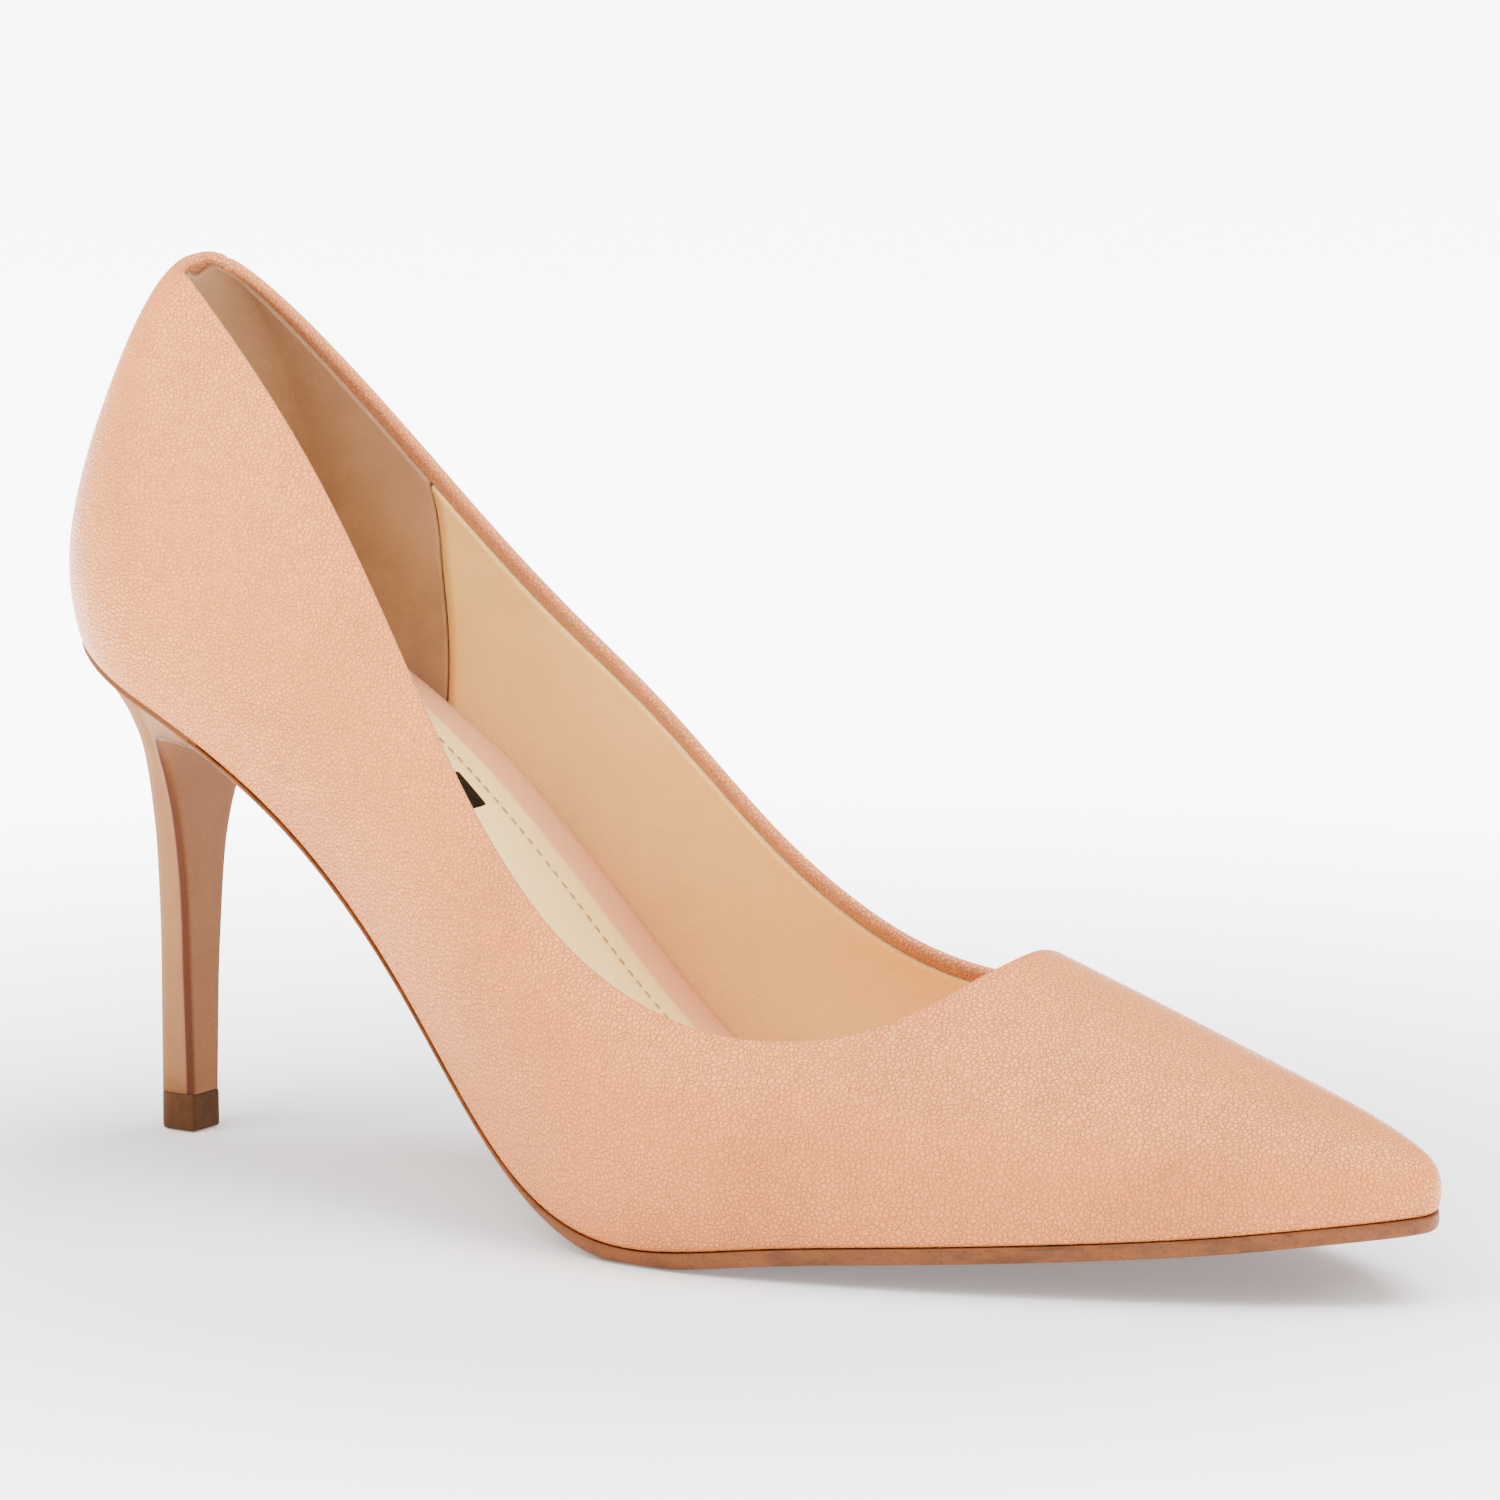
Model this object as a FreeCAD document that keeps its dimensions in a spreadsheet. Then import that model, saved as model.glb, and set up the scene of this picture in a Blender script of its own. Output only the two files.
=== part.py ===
import FreeCAD
import Part
import Sketcher
import math
import os

# High heel pump, right foot.  Units are millimetres.
# Origin: centre of the heel tip's ground face.  +X to the toe, +Y to the inner (medial) side, +Z up.

os.makedirs("parts", exist_ok=True)
doc = FreeCAD.newDocument("high_heel_pump")
Vec = FreeCAD.Vector
LATERAL = -1
MEDIAL = 1

# ---------------------------------------------------------------- driving dimensions
SINGLE_SIZES = {
    # plan stations along the shoe
    "base_start": -26.0, "fan_centre": 13.1, "toe_end": 224.0,
    # topline
    "topline_back_height": 148.5, "topline_corner_lateral": 144.5, "topline_corner_medial": 146.8,
    "throat_front": 153.3, "throat_side_back": 8.5, "throat_side_level": 0.60,
    # leather and sheet thicknesses
    "upper_thickness": 1.1, "backing_thickness": 0.4, "lining_thickness": 0.7, "stiffener_thickness": 1.0,
    "lasting_margin": 10.0, "corner_leg": 3.0, "seam_gap": 0.3, "folded_edge": 3.2,
    # bottom stack
    "margin_stack": 1.5, "board_thickness": 2.0, "foam_thickness": 1.3, "sock_thickness": 0.8,
    "pad_thickness": 0.8, "label_thickness": 0.2, "sole_fore_thickness": 2.6, "sole_waist_thickness": 0.8,
    "pad_inset": 10.0, "margin_inset": 13.5,
    "stack_width": 140.0, "stack_height": 140.0,
    # heel
    "tip_height": 6.0, "tip_half_width": 3.5, "tip_back": -3.75, "tip_front": 4.0,
    "cover_thickness": 0.9, "flap_thickness": 1.0, "seat_front": 24.0, "seat_rim_drop": 0.5,
    "pin_radius": 1.1, "pin_low": 1.5, "pin_length": 18.0, "dowel_radius": 1.7, "dowel_length": 54.0,
    # shank and fasteners
    "shank_thickness": 1.3, "shank_clearance": 0.2, "rivet_radius": 1.5, "rivet_length": 3.3,
    "nail_radius": 0.9, "nail_head_radius": 2.0, "nail_length": 14.0, "head_thickness": 0.8,
    "screw_radius": 2.0, "screw_head_radius": 3.6, "screw_length": 24.0, "screw_head_thickness": 1.6,
    "label_length": 7.5, "label_width": 22.0, "label_x": 47.5, "label_y": 1.0,
    "trim_length": 300.0, "trim_width": 200.0, "trim_height": 10.0,
}

# Values at even steps along the last, from the heel to the toe.
CONTROL_SIZES = {
    "base_height": [87.8, 87.1, 80.9, 70.6, 56.7, 33.9, 8.0, 0.4, 4.7, 6.4, 8.1, 10.1, 12.4, 13.0],
    "half_width_lateral": [29.0, 29.0, 30.2, 47.3, 45.0, 32.4, 19.0, 8.5, 2.3, 0.0],
    "half_width_medial": [29.0, 29.0, 25.8, 33.2, 34.9, 29.5, 18.9, 8.5, 2.2, 0.0],
    "crest_rise": [66.0, 66.0, 62.6, 55.4, 41.3, 26.7, 17.0, 9.3, 6.7, 0.0],
    "bulge_low": [1.17, 1.17, 1.20, 1.16, 1.085, 1.05, 1.045, 1.045, 1.05, 1.05],
    "bulge_mid": [0.85, 0.85, 1.02, 1.05, 0.98, 0.94, 0.94, 0.945, 0.95, 0.95],
    "bulge_top": [0.50, 0.50, 0.50, 0.45, 0.30, 0.35, 0.45, 0.50, 0.50, 0.50],
    "rise_low": [0.27, 0.27, 0.28, 0.30, 0.30, 0.30, 0.30, 0.30, 0.30, 0.30],
    "rise_mid": [0.60, 0.60, 0.62, 0.68, 0.70, 0.70, 0.70, 0.70, 0.70, 0.70],
    "crest_shift": [0.0, 0.0, 3.9, 0.25, 4.5, 4.0, 1.9, 1.0, 0.0, 0.0],
    "lean_forward": [-0.075, -0.075, 0.165, 0.24, 0.0, 0.0, 0.0, 0.0, 0.20, 0.33],
    "back_reach": [24.1, 30.4, 11.8, 12.3, 0.0],
    "topline_station": [14.0, 40.0, 70.0, 104.0],
    "topline_lateral": [135.9, 107.3, 63.3, 38.0],
    "topline_medial": [138.0, 101.4, 71.1, 43.4],
    # how the heel opens from the tip outline (0) to the seat outline (1)
    "flare_step": [0.0, 0.15, 0.3, 0.4, 0.5, 0.6, 0.7, 0.8, 0.87, 0.93, 0.965, 1.0],
    "flare_back_x": [0.0, 0.0, 0.01, 0.07, 0.22, 0.45, 0.70, 0.87, 0.935, 0.97, 0.99, 1.0],
    "flare_back_y": [0.0, 0.0, 0.057, 0.14, 0.25, 0.46, 0.71, 0.92, 0.97, 0.99, 0.995, 1.0],
    "flare_edge_x": [0.0, 0.0, 0.012, 0.016, 0.03, 0.054, 0.095, 0.175, 0.254, 0.464, 0.697, 1.0],
    "flare_edge_y": [0.0, 0.025, 0.058, 0.096, 0.158, 0.246, 0.354, 0.479, 0.563, 0.708, 0.838, 1.0],
}

sheet = doc.addObject("Spreadsheet::Sheet", "sizes")
sheet_row = 0


def put_size(alias, value):
    """Write one driving dimension into the sheet and give its cell a word alias."""
    global sheet_row
    sheet_row += 1
    sheet.set("A%d" % sheet_row, alias)
    sheet.set("B%d" % sheet_row, repr(value))
    sheet.setAlias("B%d" % sheet_row, alias)


for size_name, size_value in SINGLE_SIZES.items():
    put_size(size_name, size_value)
for list_name, list_values in CONTROL_SIZES.items():
    for index, size_value in enumerate(list_values):
        put_size("%s_%02d" % (list_name, index + 1), size_value)
doc.recompute()


def size(alias):
    return float(sheet.get(alias))


def size_list(alias):
    count = len(CONTROL_SIZES[alias])
    return [size("%s_%02d" % (alias, index + 1)) for index in range(count)]


BASE = size_list("base_height")
WIDTH = {LATERAL: size_list("half_width_lateral"), MEDIAL: size_list("half_width_medial")}
RIB = {name: size_list(name) for name in (
    "crest_rise", "bulge_low", "bulge_mid", "bulge_top", "rise_low", "rise_mid", "crest_shift",
    "lean_forward")}
REACH = size_list("back_reach")
FAN_X = size("fan_centre")
TOE_X = size("toe_end")
BASE_X = size("base_start")


# ---------------------------------------------------------------- small maths
def spline_value(control, fraction):
    """Clamped even cubic B-spline through the first and last control value."""
    spans = len(control) - 3
    fraction = min(max(fraction, 0.0), 1.0)
    knots = [0.0] * 3 + [k / spans for k in range(spans + 1)] + [1.0] * 3
    span = min(int(fraction * spans), spans - 1) + 3
    points = [control[span - 3 + j] for j in range(4)]
    for level in range(1, 4):
        for j in range(3, level - 1, -1):
            low = knots[span - 3 + j]
            high = knots[span + 1 + j - level]
            blend = (fraction - low) / (high - low)
            points[j] = (1.0 - blend) * points[j - 1] + blend * points[j]
    return points[3]


def quartic(points, step):
    rest = 1.0 - step
    weights = (rest ** 4, 4 * step * rest ** 3, 6 * step ** 2 * rest ** 2, 4 * step ** 3 * rest, step ** 4)
    return sum(weight * point for weight, point in zip(weights, points))


def smooth_map(xs, ys, x):
    """Monotone cubic interpolation through the pairs (xs, ys)."""
    if x <= xs[0]:
        return ys[0]
    if x >= xs[-1]:
        return ys[-1]
    slopes = [(ys[k + 1] - ys[k]) / (xs[k + 1] - xs[k]) for k in range(len(xs) - 1)]
    tangents = [slopes[0]]
    for before, after in zip(slopes, slopes[1:]):
        tangents.append(2.0 * before * after / (before + after) if before * after > 0 else 0.0)
    tangents.append(slopes[-1])
    k = max(j for j in range(len(xs) - 1) if xs[j] <= x)
    width = xs[k + 1] - xs[k]
    a = (x - xs[k]) / width
    return ((2 * a ** 3 - 3 * a ** 2 + 1) * ys[k] + (a ** 3 - 2 * a ** 2 + a) * width * tangents[k]
            + (3 * a ** 2 - 2 * a ** 3) * ys[k + 1] + (a ** 3 - a ** 2) * width * tangents[k + 1])


def smooth_step(low, high, x):
    a = min(max((x - low) / (high - low), 0.0), 1.0)
    return a * a * (3.0 - 2.0 * a)


# ---------------------------------------------------------------- last surface
def base_z(x):
    """Height of the outsole's top profile."""
    return spline_value(BASE, (x - BASE_X) / (TOE_X - BASE_X))


def station_x(q):
    return FAN_X + (TOE_X - FAN_X) * math.sin(math.pi * q / 2.0)


def station_of(x):
    return 2.0 / math.pi * math.asin(min(max((x - FAN_X) / (TOE_X - FAN_X), 0.0), 1.0))


def half_width(q, side):
    return spline_value(WIDTH[side], max(q, 0.0))


def wall_point(q, level, side):
    """Outer leather surface.  q: -1 back, 0 fan centre, 1 toe.  level: 0 feather line, 1 crest."""
    u = max(q, 0.0)
    rib = {name: spline_value(values, u) for name, values in RIB.items()}
    width = half_width(q, side)
    shares = [1.0, rib["bulge_low"], rib["bulge_mid"], rib["bulge_top"], 0.0]
    across = width * quartic(shares, level)
    crest = rib["crest_rise"]
    rise = quartic([0.0, rib["rise_low"] * crest, rib["rise_mid"] * crest, crest, crest], level)
    if q < 0:
        turn = (q + 1.0) * math.pi / 2.0
        x = FAN_X - quartic(REACH, level) * math.cos(turn)
        across *= math.sin(turn)
    else:
        x = station_x(q)
    return Vec(x + rib["lean_forward"] * rise, rib["crest_shift"] + side * across, base_z(x) + rise)


def level_at_height(q, height):
    """Level whose rise over the feather line brings it to the given height."""
    u = max(q, 0.0)
    crest, low_share, mid_share = [
        spline_value(RIB[name], u) for name in ("crest_rise", "rise_low", "rise_mid")]
    goal = height - base_z(plan_point(q, 0.0, LATERAL).x)
    low, high = 0.0, 1.0
    for _ in range(40):
        middle = (low + high) / 2.0
        if quartic([0.0, low_share * crest, mid_share * crest, crest, crest], middle) < goal:
            low = middle
        else:
            high = middle
    return (low + high) / 2.0


def plan_point(q, level, side):
    """Flat map of the surface: the level shrinks the plan outline towards the shoe's middle line."""
    rest = (1.0 - level)
    if q < 0:
        turn = (q + 1.0) * math.pi / 2.0
        return Vec(FAN_X - REACH[0] * rest * math.cos(turn),
                   side * rest * half_width(0, side) * math.sin(turn), 0)
    return Vec(station_x(q), side * rest * half_width(q, side), 0)


def wall_at_plan(point):
    """Surface point that the flat map sends to this plan point."""
    side = LATERAL if point.y < 0 else MEDIAL
    if point.x < FAN_X:
        dx = (FAN_X - point.x) / REACH[0]
        dy = abs(point.y) / half_width(0, side)
        return wall_point(math.atan2(dy, dx) / (math.pi / 2.0) - 1.0, 1.0 - math.hypot(dx, dy), side)
    q = station_of(point.x)
    width = half_width(q, side)
    level = 1.0 - abs(point.y) / width if width > 1e-6 else 1.0
    return wall_point(q, min(max(level, 0.0), 1.0), side)


# ---------------------------------------------------------------- the two loops of the upper
def topline_knots(side):
    name = "lateral" if side == LATERAL else "medial"
    knots = [(-0.5, size("topline_corner_%s" % name))]
    stations = [station_of(x) for x in size_list("topline_station")]
    knots += zip(stations, size_list("topline_%s" % name))
    points = [plan_point(q, level_at_height(q, z), side) for q, z in knots]
    points.append(plan_point(station_of(size("throat_front") - size("throat_side_back")),
                             size("throat_side_level"), side))
    return points


def topline_curve():
    """Closed curve of the top edge on the flat map, from the back over the lateral side."""
    back = plan_point(-1.0, level_at_height(-1.0, size("topline_back_height")), LATERAL)
    throat = Vec(size("throat_front"), 0, 0)
    points = [back] + topline_knots(LATERAL) + [throat] + topline_knots(MEDIAL)[::-1]
    steps = [0.0]
    for a, b in zip(points, points[1:] + points[:1]):
        steps.append(steps[-1] + a.distanceToPoint(b) ** 0.7)
    curve = Part.BSplineCurve()
    curve.interpolate(Points=points, PeriodicFlag=True, Parameters=steps)
    return curve, steps[len(points) // 2]


TOP_CURVE, TOP_THROAT = topline_curve()


def length_table(point_at, low, high, count=240):
    """Pairs of running length and parameter along a plan curve."""
    lengths, parameters = [0.0], [low]
    last = point_at(low)
    for k in range(1, count + 1):
        parameter = low + (high - low) * k / count
        point = point_at(parameter)
        lengths.append(lengths[-1] + last.distanceToPoint(point))
        parameters.append(parameter)
        last = point
    return lengths, parameters


def linear_map(xs, ys, x):
    for k in range(len(xs) - 1):
        if x <= xs[k + 1]:
            return ys[k] + (ys[k + 1] - ys[k]) * (x - xs[k]) / max(xs[k + 1] - xs[k], 1e-12)
    return ys[-1]


TOP_LENGTH = {
    LATERAL: length_table(TOP_CURVE.value, TOP_CURVE.FirstParameter, TOP_THROAT),
    MEDIAL: length_table(TOP_CURVE.value, TOP_CURVE.LastParameter, TOP_THROAT),
}
FEATHER_LENGTH = {
    side: length_table(lambda q, side=side: plan_point(q, 0.0, side), -1.0, 1.0)
    for side in (LATERAL, MEDIAL)}

# Matching of the feather loop to the topline loop, as fractions of their half lengths.
FEATHER_SHARE = [0.0, 0.085, 0.17, 0.27, 0.40, 0.57, 0.85, 1.0]
TOPLINE_SHARE = [0.0, 0.03, 0.085, 0.25, 0.44, 0.65, 0.92, 1.0]


def loop_pair(turn):
    """turn: 0 back, 1 toe, 2 back again (0..1 lateral, 1..2 medial).  Returns feather and topline points."""
    turn = turn % 2.0
    side = LATERAL if turn <= 1.0 else MEDIAL
    share = turn if turn <= 1.0 else 2.0 - turn
    lengths, stations = FEATHER_LENGTH[side]
    feather = plan_point(linear_map(lengths, stations, share * lengths[-1]), 0.0, side)
    top_lengths, top_params = TOP_LENGTH[side]
    top_share = smooth_map(FEATHER_SHARE, TOPLINE_SHARE, share)
    return feather, TOP_CURVE.value(linear_map(top_lengths, top_params, top_share * top_lengths[-1]))


def shift_at(x):
    """Sideways shift of the shoe's middle line."""
    return spline_value(RIB["crest_shift"], station_of(x))


def feather_at(turn, inset=0.0):
    """Plan point on the feather line, or a distance inside it."""
    plan = loop_pair(turn)[0]
    point = plan + inward_normal(turn) * inset
    return Vec(point.x, point.y + shift_at(plan.x), 0)


def inward_normal(turn):
    tangent = loop_pair(turn + 0.004)[0] - loop_pair(turn - 0.004)[0]
    return Vec(tangent.y, -tangent.x, 0).normalize() * (-1.0)


MARGIN_ROWS = 4
CORNER_ROWS = 4
WALL_ROWS = 18
# Row positions shared by every column, close to real distances.
ROW_STEPS = [3.0] * (MARGIN_ROWS - 1) + [1.2] * CORNER_ROWS + [2.8] * (WALL_ROWS - 1)
WALL_FIRST = sum(ROW_STEPS[:MARGIN_ROWS - 1 + CORNER_ROWS])
ROW_END = sum(ROW_STEPS)


def upper_column(turn):
    """Points of one column: lasting margin, rounded bottom corner, wall up to the topline."""
    feather, top = loop_pair(turn)
    inward = inward_normal(turn)
    room = abs(feather.y) / abs(inward.y) if abs(inward.y) > 0.05 else 1e3
    if feather.x > FAN_X:
        room = max(min(room, 1e3), 4.1) if abs(inward.y) > 0.05 else 4.1
    margin = (size("lasting_margin") ** -4 + (0.85 * room) ** -4) ** -0.25
    leg = min(size("corner_leg"), 0.75 * margin)
    fractions = [(k / 60.0) ** 2 for k in range(61)]
    path = [wall_at_plan(feather + (top - feather) * f) for f in fractions]
    lengths = [0.0]
    for a, b in zip(path, path[1:]):
        lengths.append(lengths[-1] + a.distanceToPoint(b))

    def on_base(distance):
        point = feather_at(turn, distance)
        return Vec(point.x, point.y, base_z(point.x))

    def on_wall(distance):
        return wall_at_plan(feather + (top - feather) * linear_map(lengths, fractions, distance))

    points = [on_base(margin + (leg - margin) * k / (MARGIN_ROWS - 1)) for k in range(MARGIN_ROWS)]
    start, corner, end = on_base(leg), on_base(0.0), on_wall(leg)
    for k in range(1, CORNER_ROWS + 1):
        a = k / CORNER_ROWS
        points.append(start * (1 - a) ** 2 + corner * (2 * a * (1 - a)) + end * a ** 2)
    for k in range(1, WALL_ROWS):
        points.append(on_wall(leg + (lengths[-1] - leg) * k / (WALL_ROWS - 1)))
    return points


# ---------------------------------------------------------------- surfaces and sheets
def curve_through(points, parameters):
    curve = Part.BSplineCurve()
    curve.interpolate(Points=points, Parameters=parameters)
    return curve


def surface_through(grid, rows, columns):
    """Cubic surface through grid[column][row] with the given column and row parameters."""
    first = [curve_through(column, rows) for column in grid]
    pole_rows = list(zip(*[curve.getPoles() for curve in first]))
    second = [curve_through(list(points), columns) for points in pole_rows]
    poles = list(zip(*[curve.getPoles() for curve in second]))
    surface = Part.BSplineSurface()
    surface.buildFromPolesMultsKnots(
        [list(line) for line in poles], second[0].getMultiplicities(), first[0].getMultiplicities(),
        second[0].getKnots(), first[0].getKnots(), False, False, 3, 3)
    return surface


def even(low, high, count):
    return [low + (high - low) * k / (count - 1) for k in range(count)]


def closed_solid(faces):
    shell = Part.makeShell(faces)
    shell.sewShape()
    solid = Part.Solid(shell)
    if solid.Volume < 0:
        solid.reverse()
    return solid


def ruled_face(first, second):
    """Straight-ruled face between two cubic curves that share their knots."""
    surface = Part.BSplineSurface()
    surface.buildFromPolesMultsKnots(
        [first.getPoles(), second.getPoles()], [2, 2], first.getMultiplicities(),
        [0.0, 1.0], first.getKnots(), False, False, 1, 3)
    return surface.toShape()


def sheet_solid(outer_grid, inner_grid):
    """Closed solid between two point grids of the same size."""
    columns = even(0.0, 1.0, len(outer_grid))
    rows = even(0.0, 1.0, len(outer_grid[0]))
    outer = surface_through(outer_grid, rows, columns)
    inner = surface_through(inner_grid, rows, columns)
    faces = [outer.toShape(), inner.toShape()]
    for pick in ("uIso", "vIso"):
        for value in (0.0, 1.0):
            faces.append(ruled_face(getattr(outer, pick)(value), getattr(inner, pick)(value)))
    return closed_solid(faces)


SEAM_TURN = 2.0 - 0.035
COLUMNS = 96


def turn_of(share):
    """Column spacing: closer together at the toe.  share 0..1 runs once round from seam to seam."""
    turn = SEAM_TURN + 2.0 * share
    return turn + 0.7 / math.pi * math.sin(math.pi * turn)


def share_of_turn(turn):
    low, high = 0.0, 1.0
    goal = turn if turn >= SEAM_TURN else turn + 2.0
    for _ in range(40):
        middle = (low + high) / 2.0
        if turn_of(middle) < goal:
            low = middle
        else:
            high = middle
    return (low + high) / 2.0


def upper_master():
    """Outer skin of the lasted upper.  Column parameter 0..1 from seam to seam, row parameter in mm."""
    shares = even(0.0, 1.0, COLUMNS + 1)
    grid = [upper_column(turn_of(share)) for share in shares]
    rows = [0.0]
    for step in ROW_STEPS:
        rows.append(rows[-1] + step)
    return surface_through(grid, rows, shares)


MASTER = upper_master()


def master_normal(u, v):
    """Unit normal into the shoe."""
    step = 1e-3
    low_u, high_u = max(u - step, 0.0), min(u + step, 1.0)
    low_v, high_v = max(v - 0.05, 0.0), min(v + 0.05, ROW_END)
    along = MASTER.value(high_u, v) - MASTER.value(low_u, v)
    up = MASTER.value(u, high_v) - MASTER.value(u, low_v)
    return along.cross(up).normalize()


middle_point = MASTER.value(0.3, WALL_FIRST + 5.0)
NORMAL_SIGN = 1.0 if master_normal(0.3, WALL_FIRST + 5.0).y * (0.0 - middle_point.y) > 0 else -1.0


def master_offset(u, v, distance):
    return MASTER.value(u, v) + master_normal(u, v) * (NORMAL_SIGN * distance)


def row_below_top(u, distance):
    step = MASTER.value(u, ROW_END).distanceToPoint(MASTER.value(u, ROW_END - 1.0))
    return ROW_END - distance / step


def row_at_x(u, x):
    """Row where the skin crosses a plane across the toe."""
    low, high = WALL_FIRST, ROW_END
    for _ in range(30):
        middle = (low + high) / 2.0
        if MASTER.value(u, middle).x > x:
            low = middle
        else:
            high = middle
    return (low + high) / 2.0


def wrapped_sheet(shares, row_low, row_high, row_count, outer_depth, inner_depth):
    """Sheet that follows the master skin.  The row limits and depths are functions."""
    outer_grid, inner_grid = [], []
    for u in shares:
        rows = even(row_low(u), row_high(u), row_count)
        outer_grid.append([master_offset(u, v, outer_depth(u, v)) for v in rows])
        inner_grid.append([master_offset(u, v, inner_depth(u, v)) for v in rows])
    return sheet_solid(outer_grid, inner_grid)


UPPER = size("upper_thickness")
BACKED = UPPER + size("backing_thickness")
LINING = size("lining_thickness")
STIFF = size("stiffener_thickness")
COUNTER_END = 46.0
PUFF_BACK = 172.0
LINING_FIRST = WALL_FIRST - 1.0


def stiffening(u, v):
    """Local thickness of counter and toe puff, thinned to nothing towards their edges."""
    point = MASTER.value(u, v)
    height_share = (v - WALL_FIRST) / (ROW_END - WALL_FIRST)
    low_part = 1.0 - smooth_step(0.5, 0.8, height_share)
    heel = low_part * (1.0 - smooth_step(COUNTER_END - 14.0, COUNTER_END, point.x))
    toe = smooth_step(PUFF_BACK, PUFF_BACK + 14.0, point.x)
    return STIFF * max(heel, toe)


def lined_depth(u, v):
    return BACKED + stiffening(u, v)


def share_at_x(x, side, row):
    """Column share whose point on this row lies at x, on one side of the shoe."""
    low, high = (0.03, 0.5) if side == LATERAL else (0.97, 0.5)
    for _ in range(40):
        middle = (low + high) / 2.0
        if MASTER.value(middle, row).x < x:
            low = middle
        else:
            high = middle
    return (low + high) / 2.0


# ---------------------------------------------------------------- document objects
nodes = []


def keep(obj, label):
    obj.Label = label
    nodes.append(obj)
    return obj


def free_solid(label, shape):
    obj = doc.addObject("Part::Feature", label)
    obj.Shape = shape
    obj.Placement = FreeCAD.Placement()
    return keep(obj, label)


seam_share = 0.5 * size("seam_gap") / 530.0
all_round = even(seam_share, 1.0 - seam_share, COLUMNS + 1)


def plain(value):
    return lambda u, v: value


free_solid("upper_leather", wrapped_sheet(
    all_round, lambda u: 0.0, lambda u: ROW_END, 34, plain(0.0), plain(UPPER)))
free_solid("upper_backing", wrapped_sheet(
    all_round, lambda u: 0.5, lambda u: row_below_top(u, 1.5), 34, plain(UPPER), plain(BACKED)))


def lining_last(u):
    return row_below_top(u, size("folded_edge"))


grip_row = WALL_FIRST + 20.0
grip_x = 33.0
grip_low = share_at_x(grip_x, LATERAL, grip_row)
grip_high = share_at_x(grip_x, MEDIAL, grip_row)
free_solid("vamp_quarter_lining", wrapped_sheet(
    even(grip_low, grip_high, 73), lambda u: LINING_FIRST, lining_last, 24,
    lined_depth, lambda u, v: lined_depth(u, v) + LINING))
heel_shares = [share % 1.0 for share in even(grip_high + 0.0006, 1.0 + grip_low - 0.0006, 33)]
free_solid("heel_grip_lining", wrapped_sheet(
    heel_shares, lambda u: LINING_FIRST, lining_last, 24,
    lined_depth, lambda u, v: lined_depth(u, v) + LINING))

counter_low = share_at_x(COUNTER_END - 3.0, LATERAL, grip_row)
counter_high = share_at_x(COUNTER_END - 3.0, MEDIAL, grip_row)
counter_shares = [share % 1.0 for share in even(counter_high, 1.0 + counter_low, 41)]
free_solid("heel_counter", wrapped_sheet(
    counter_shares, lambda u: LINING_FIRST, lambda u: WALL_FIRST + 0.74 * (ROW_END - WALL_FIRST), 18,
    plain(BACKED), lambda u, v: max(lined_depth(u, v), BACKED + 0.12)))

puff_low = share_at_x(PUFF_BACK + 5.0, LATERAL, WALL_FIRST)
puff_high = share_at_x(PUFF_BACK + 5.0, MEDIAL, WALL_FIRST)
free_solid("toe_puff", wrapped_sheet(
    even(puff_low, puff_high, 41), lambda u: LINING_FIRST, lambda u: row_at_x(u, PUFF_BACK + 3.0), 14,
    plain(BACKED), lambda u, v: max(lined_depth(u, v), BACKED + 0.12)))


# ---------------------------------------------------------------- plates of the bottom stack
def feather_loop(count=56):
    """Closed plan outline along the feather line."""
    points = []
    for k in range(count):
        share = k / count
        points.append(feather_at(2.0 * share + 0.6 / math.pi * math.sin(2.0 * math.pi * share)))
    return points


def skin_point_at(u, height, depth):
    """Point of the inward offset skin at a height over the base profile."""
    low, high = WALL_FIRST - 4.0, ROW_END
    for _ in range(26):
        middle = (low + high) / 2.0
        point = master_offset(u, middle, depth(u, middle))
        if point.z - base_z(point.x) < height:
            low = middle
        else:
            high = middle
    return master_offset(u, low, depth(u, low))


def inside_loop(low_height, high_height, depth, clearance, count=52):
    """Closed plan outline of the room inside a skin between two heights over the base profile."""
    points = []
    for k in range(count):
        turn = 2.0 * k / count + 0.6 / math.pi * math.sin(2.0 * math.pi * k / count)
        u = share_of_turn(turn)
        feather, inward = feather_at(turn), inward_normal(turn)
        low = skin_point_at(u, low_height, depth)
        high = skin_point_at(u, high_height, depth)
        further_in = (high - feather).dot(inward) - (low - feather).dot(inward)
        blend = 1.0 / (1.0 + math.exp(-4.0 * further_in))
        point = low + (high - low) * blend + inward * clearance
        points.append(Vec(point.x, point.y, 0))
    return points


def inset_side(inset, x_low, x_high, side, count=12):
    """Plan points along one side, inside the feather line."""
    points = []
    for x in even(x_low, x_high, count):
        points.append(Vec(x, shift_at(x) + side * (half_width(station_of(x), side) - inset), 0))
    return points


def plan_sketch(label, curves):
    """Plan outline sketch under the shoe.  Each entry is a list of points: a line (2) or a spline."""
    sketch = doc.addObject("Sketcher::SketchObject", label)
    sketch.Placement = FreeCAD.Placement(Vec(0, 0, -20), FreeCAD.Rotation())
    for points in curves:
        if len(points) == 2:
            sketch.addGeometry(Part.LineSegment(points[0], points[1]), False)
        else:
            sketch.addGeometry(curve_through(points, even(0.0, 1.0, len(points))), False)
    return sketch


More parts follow.
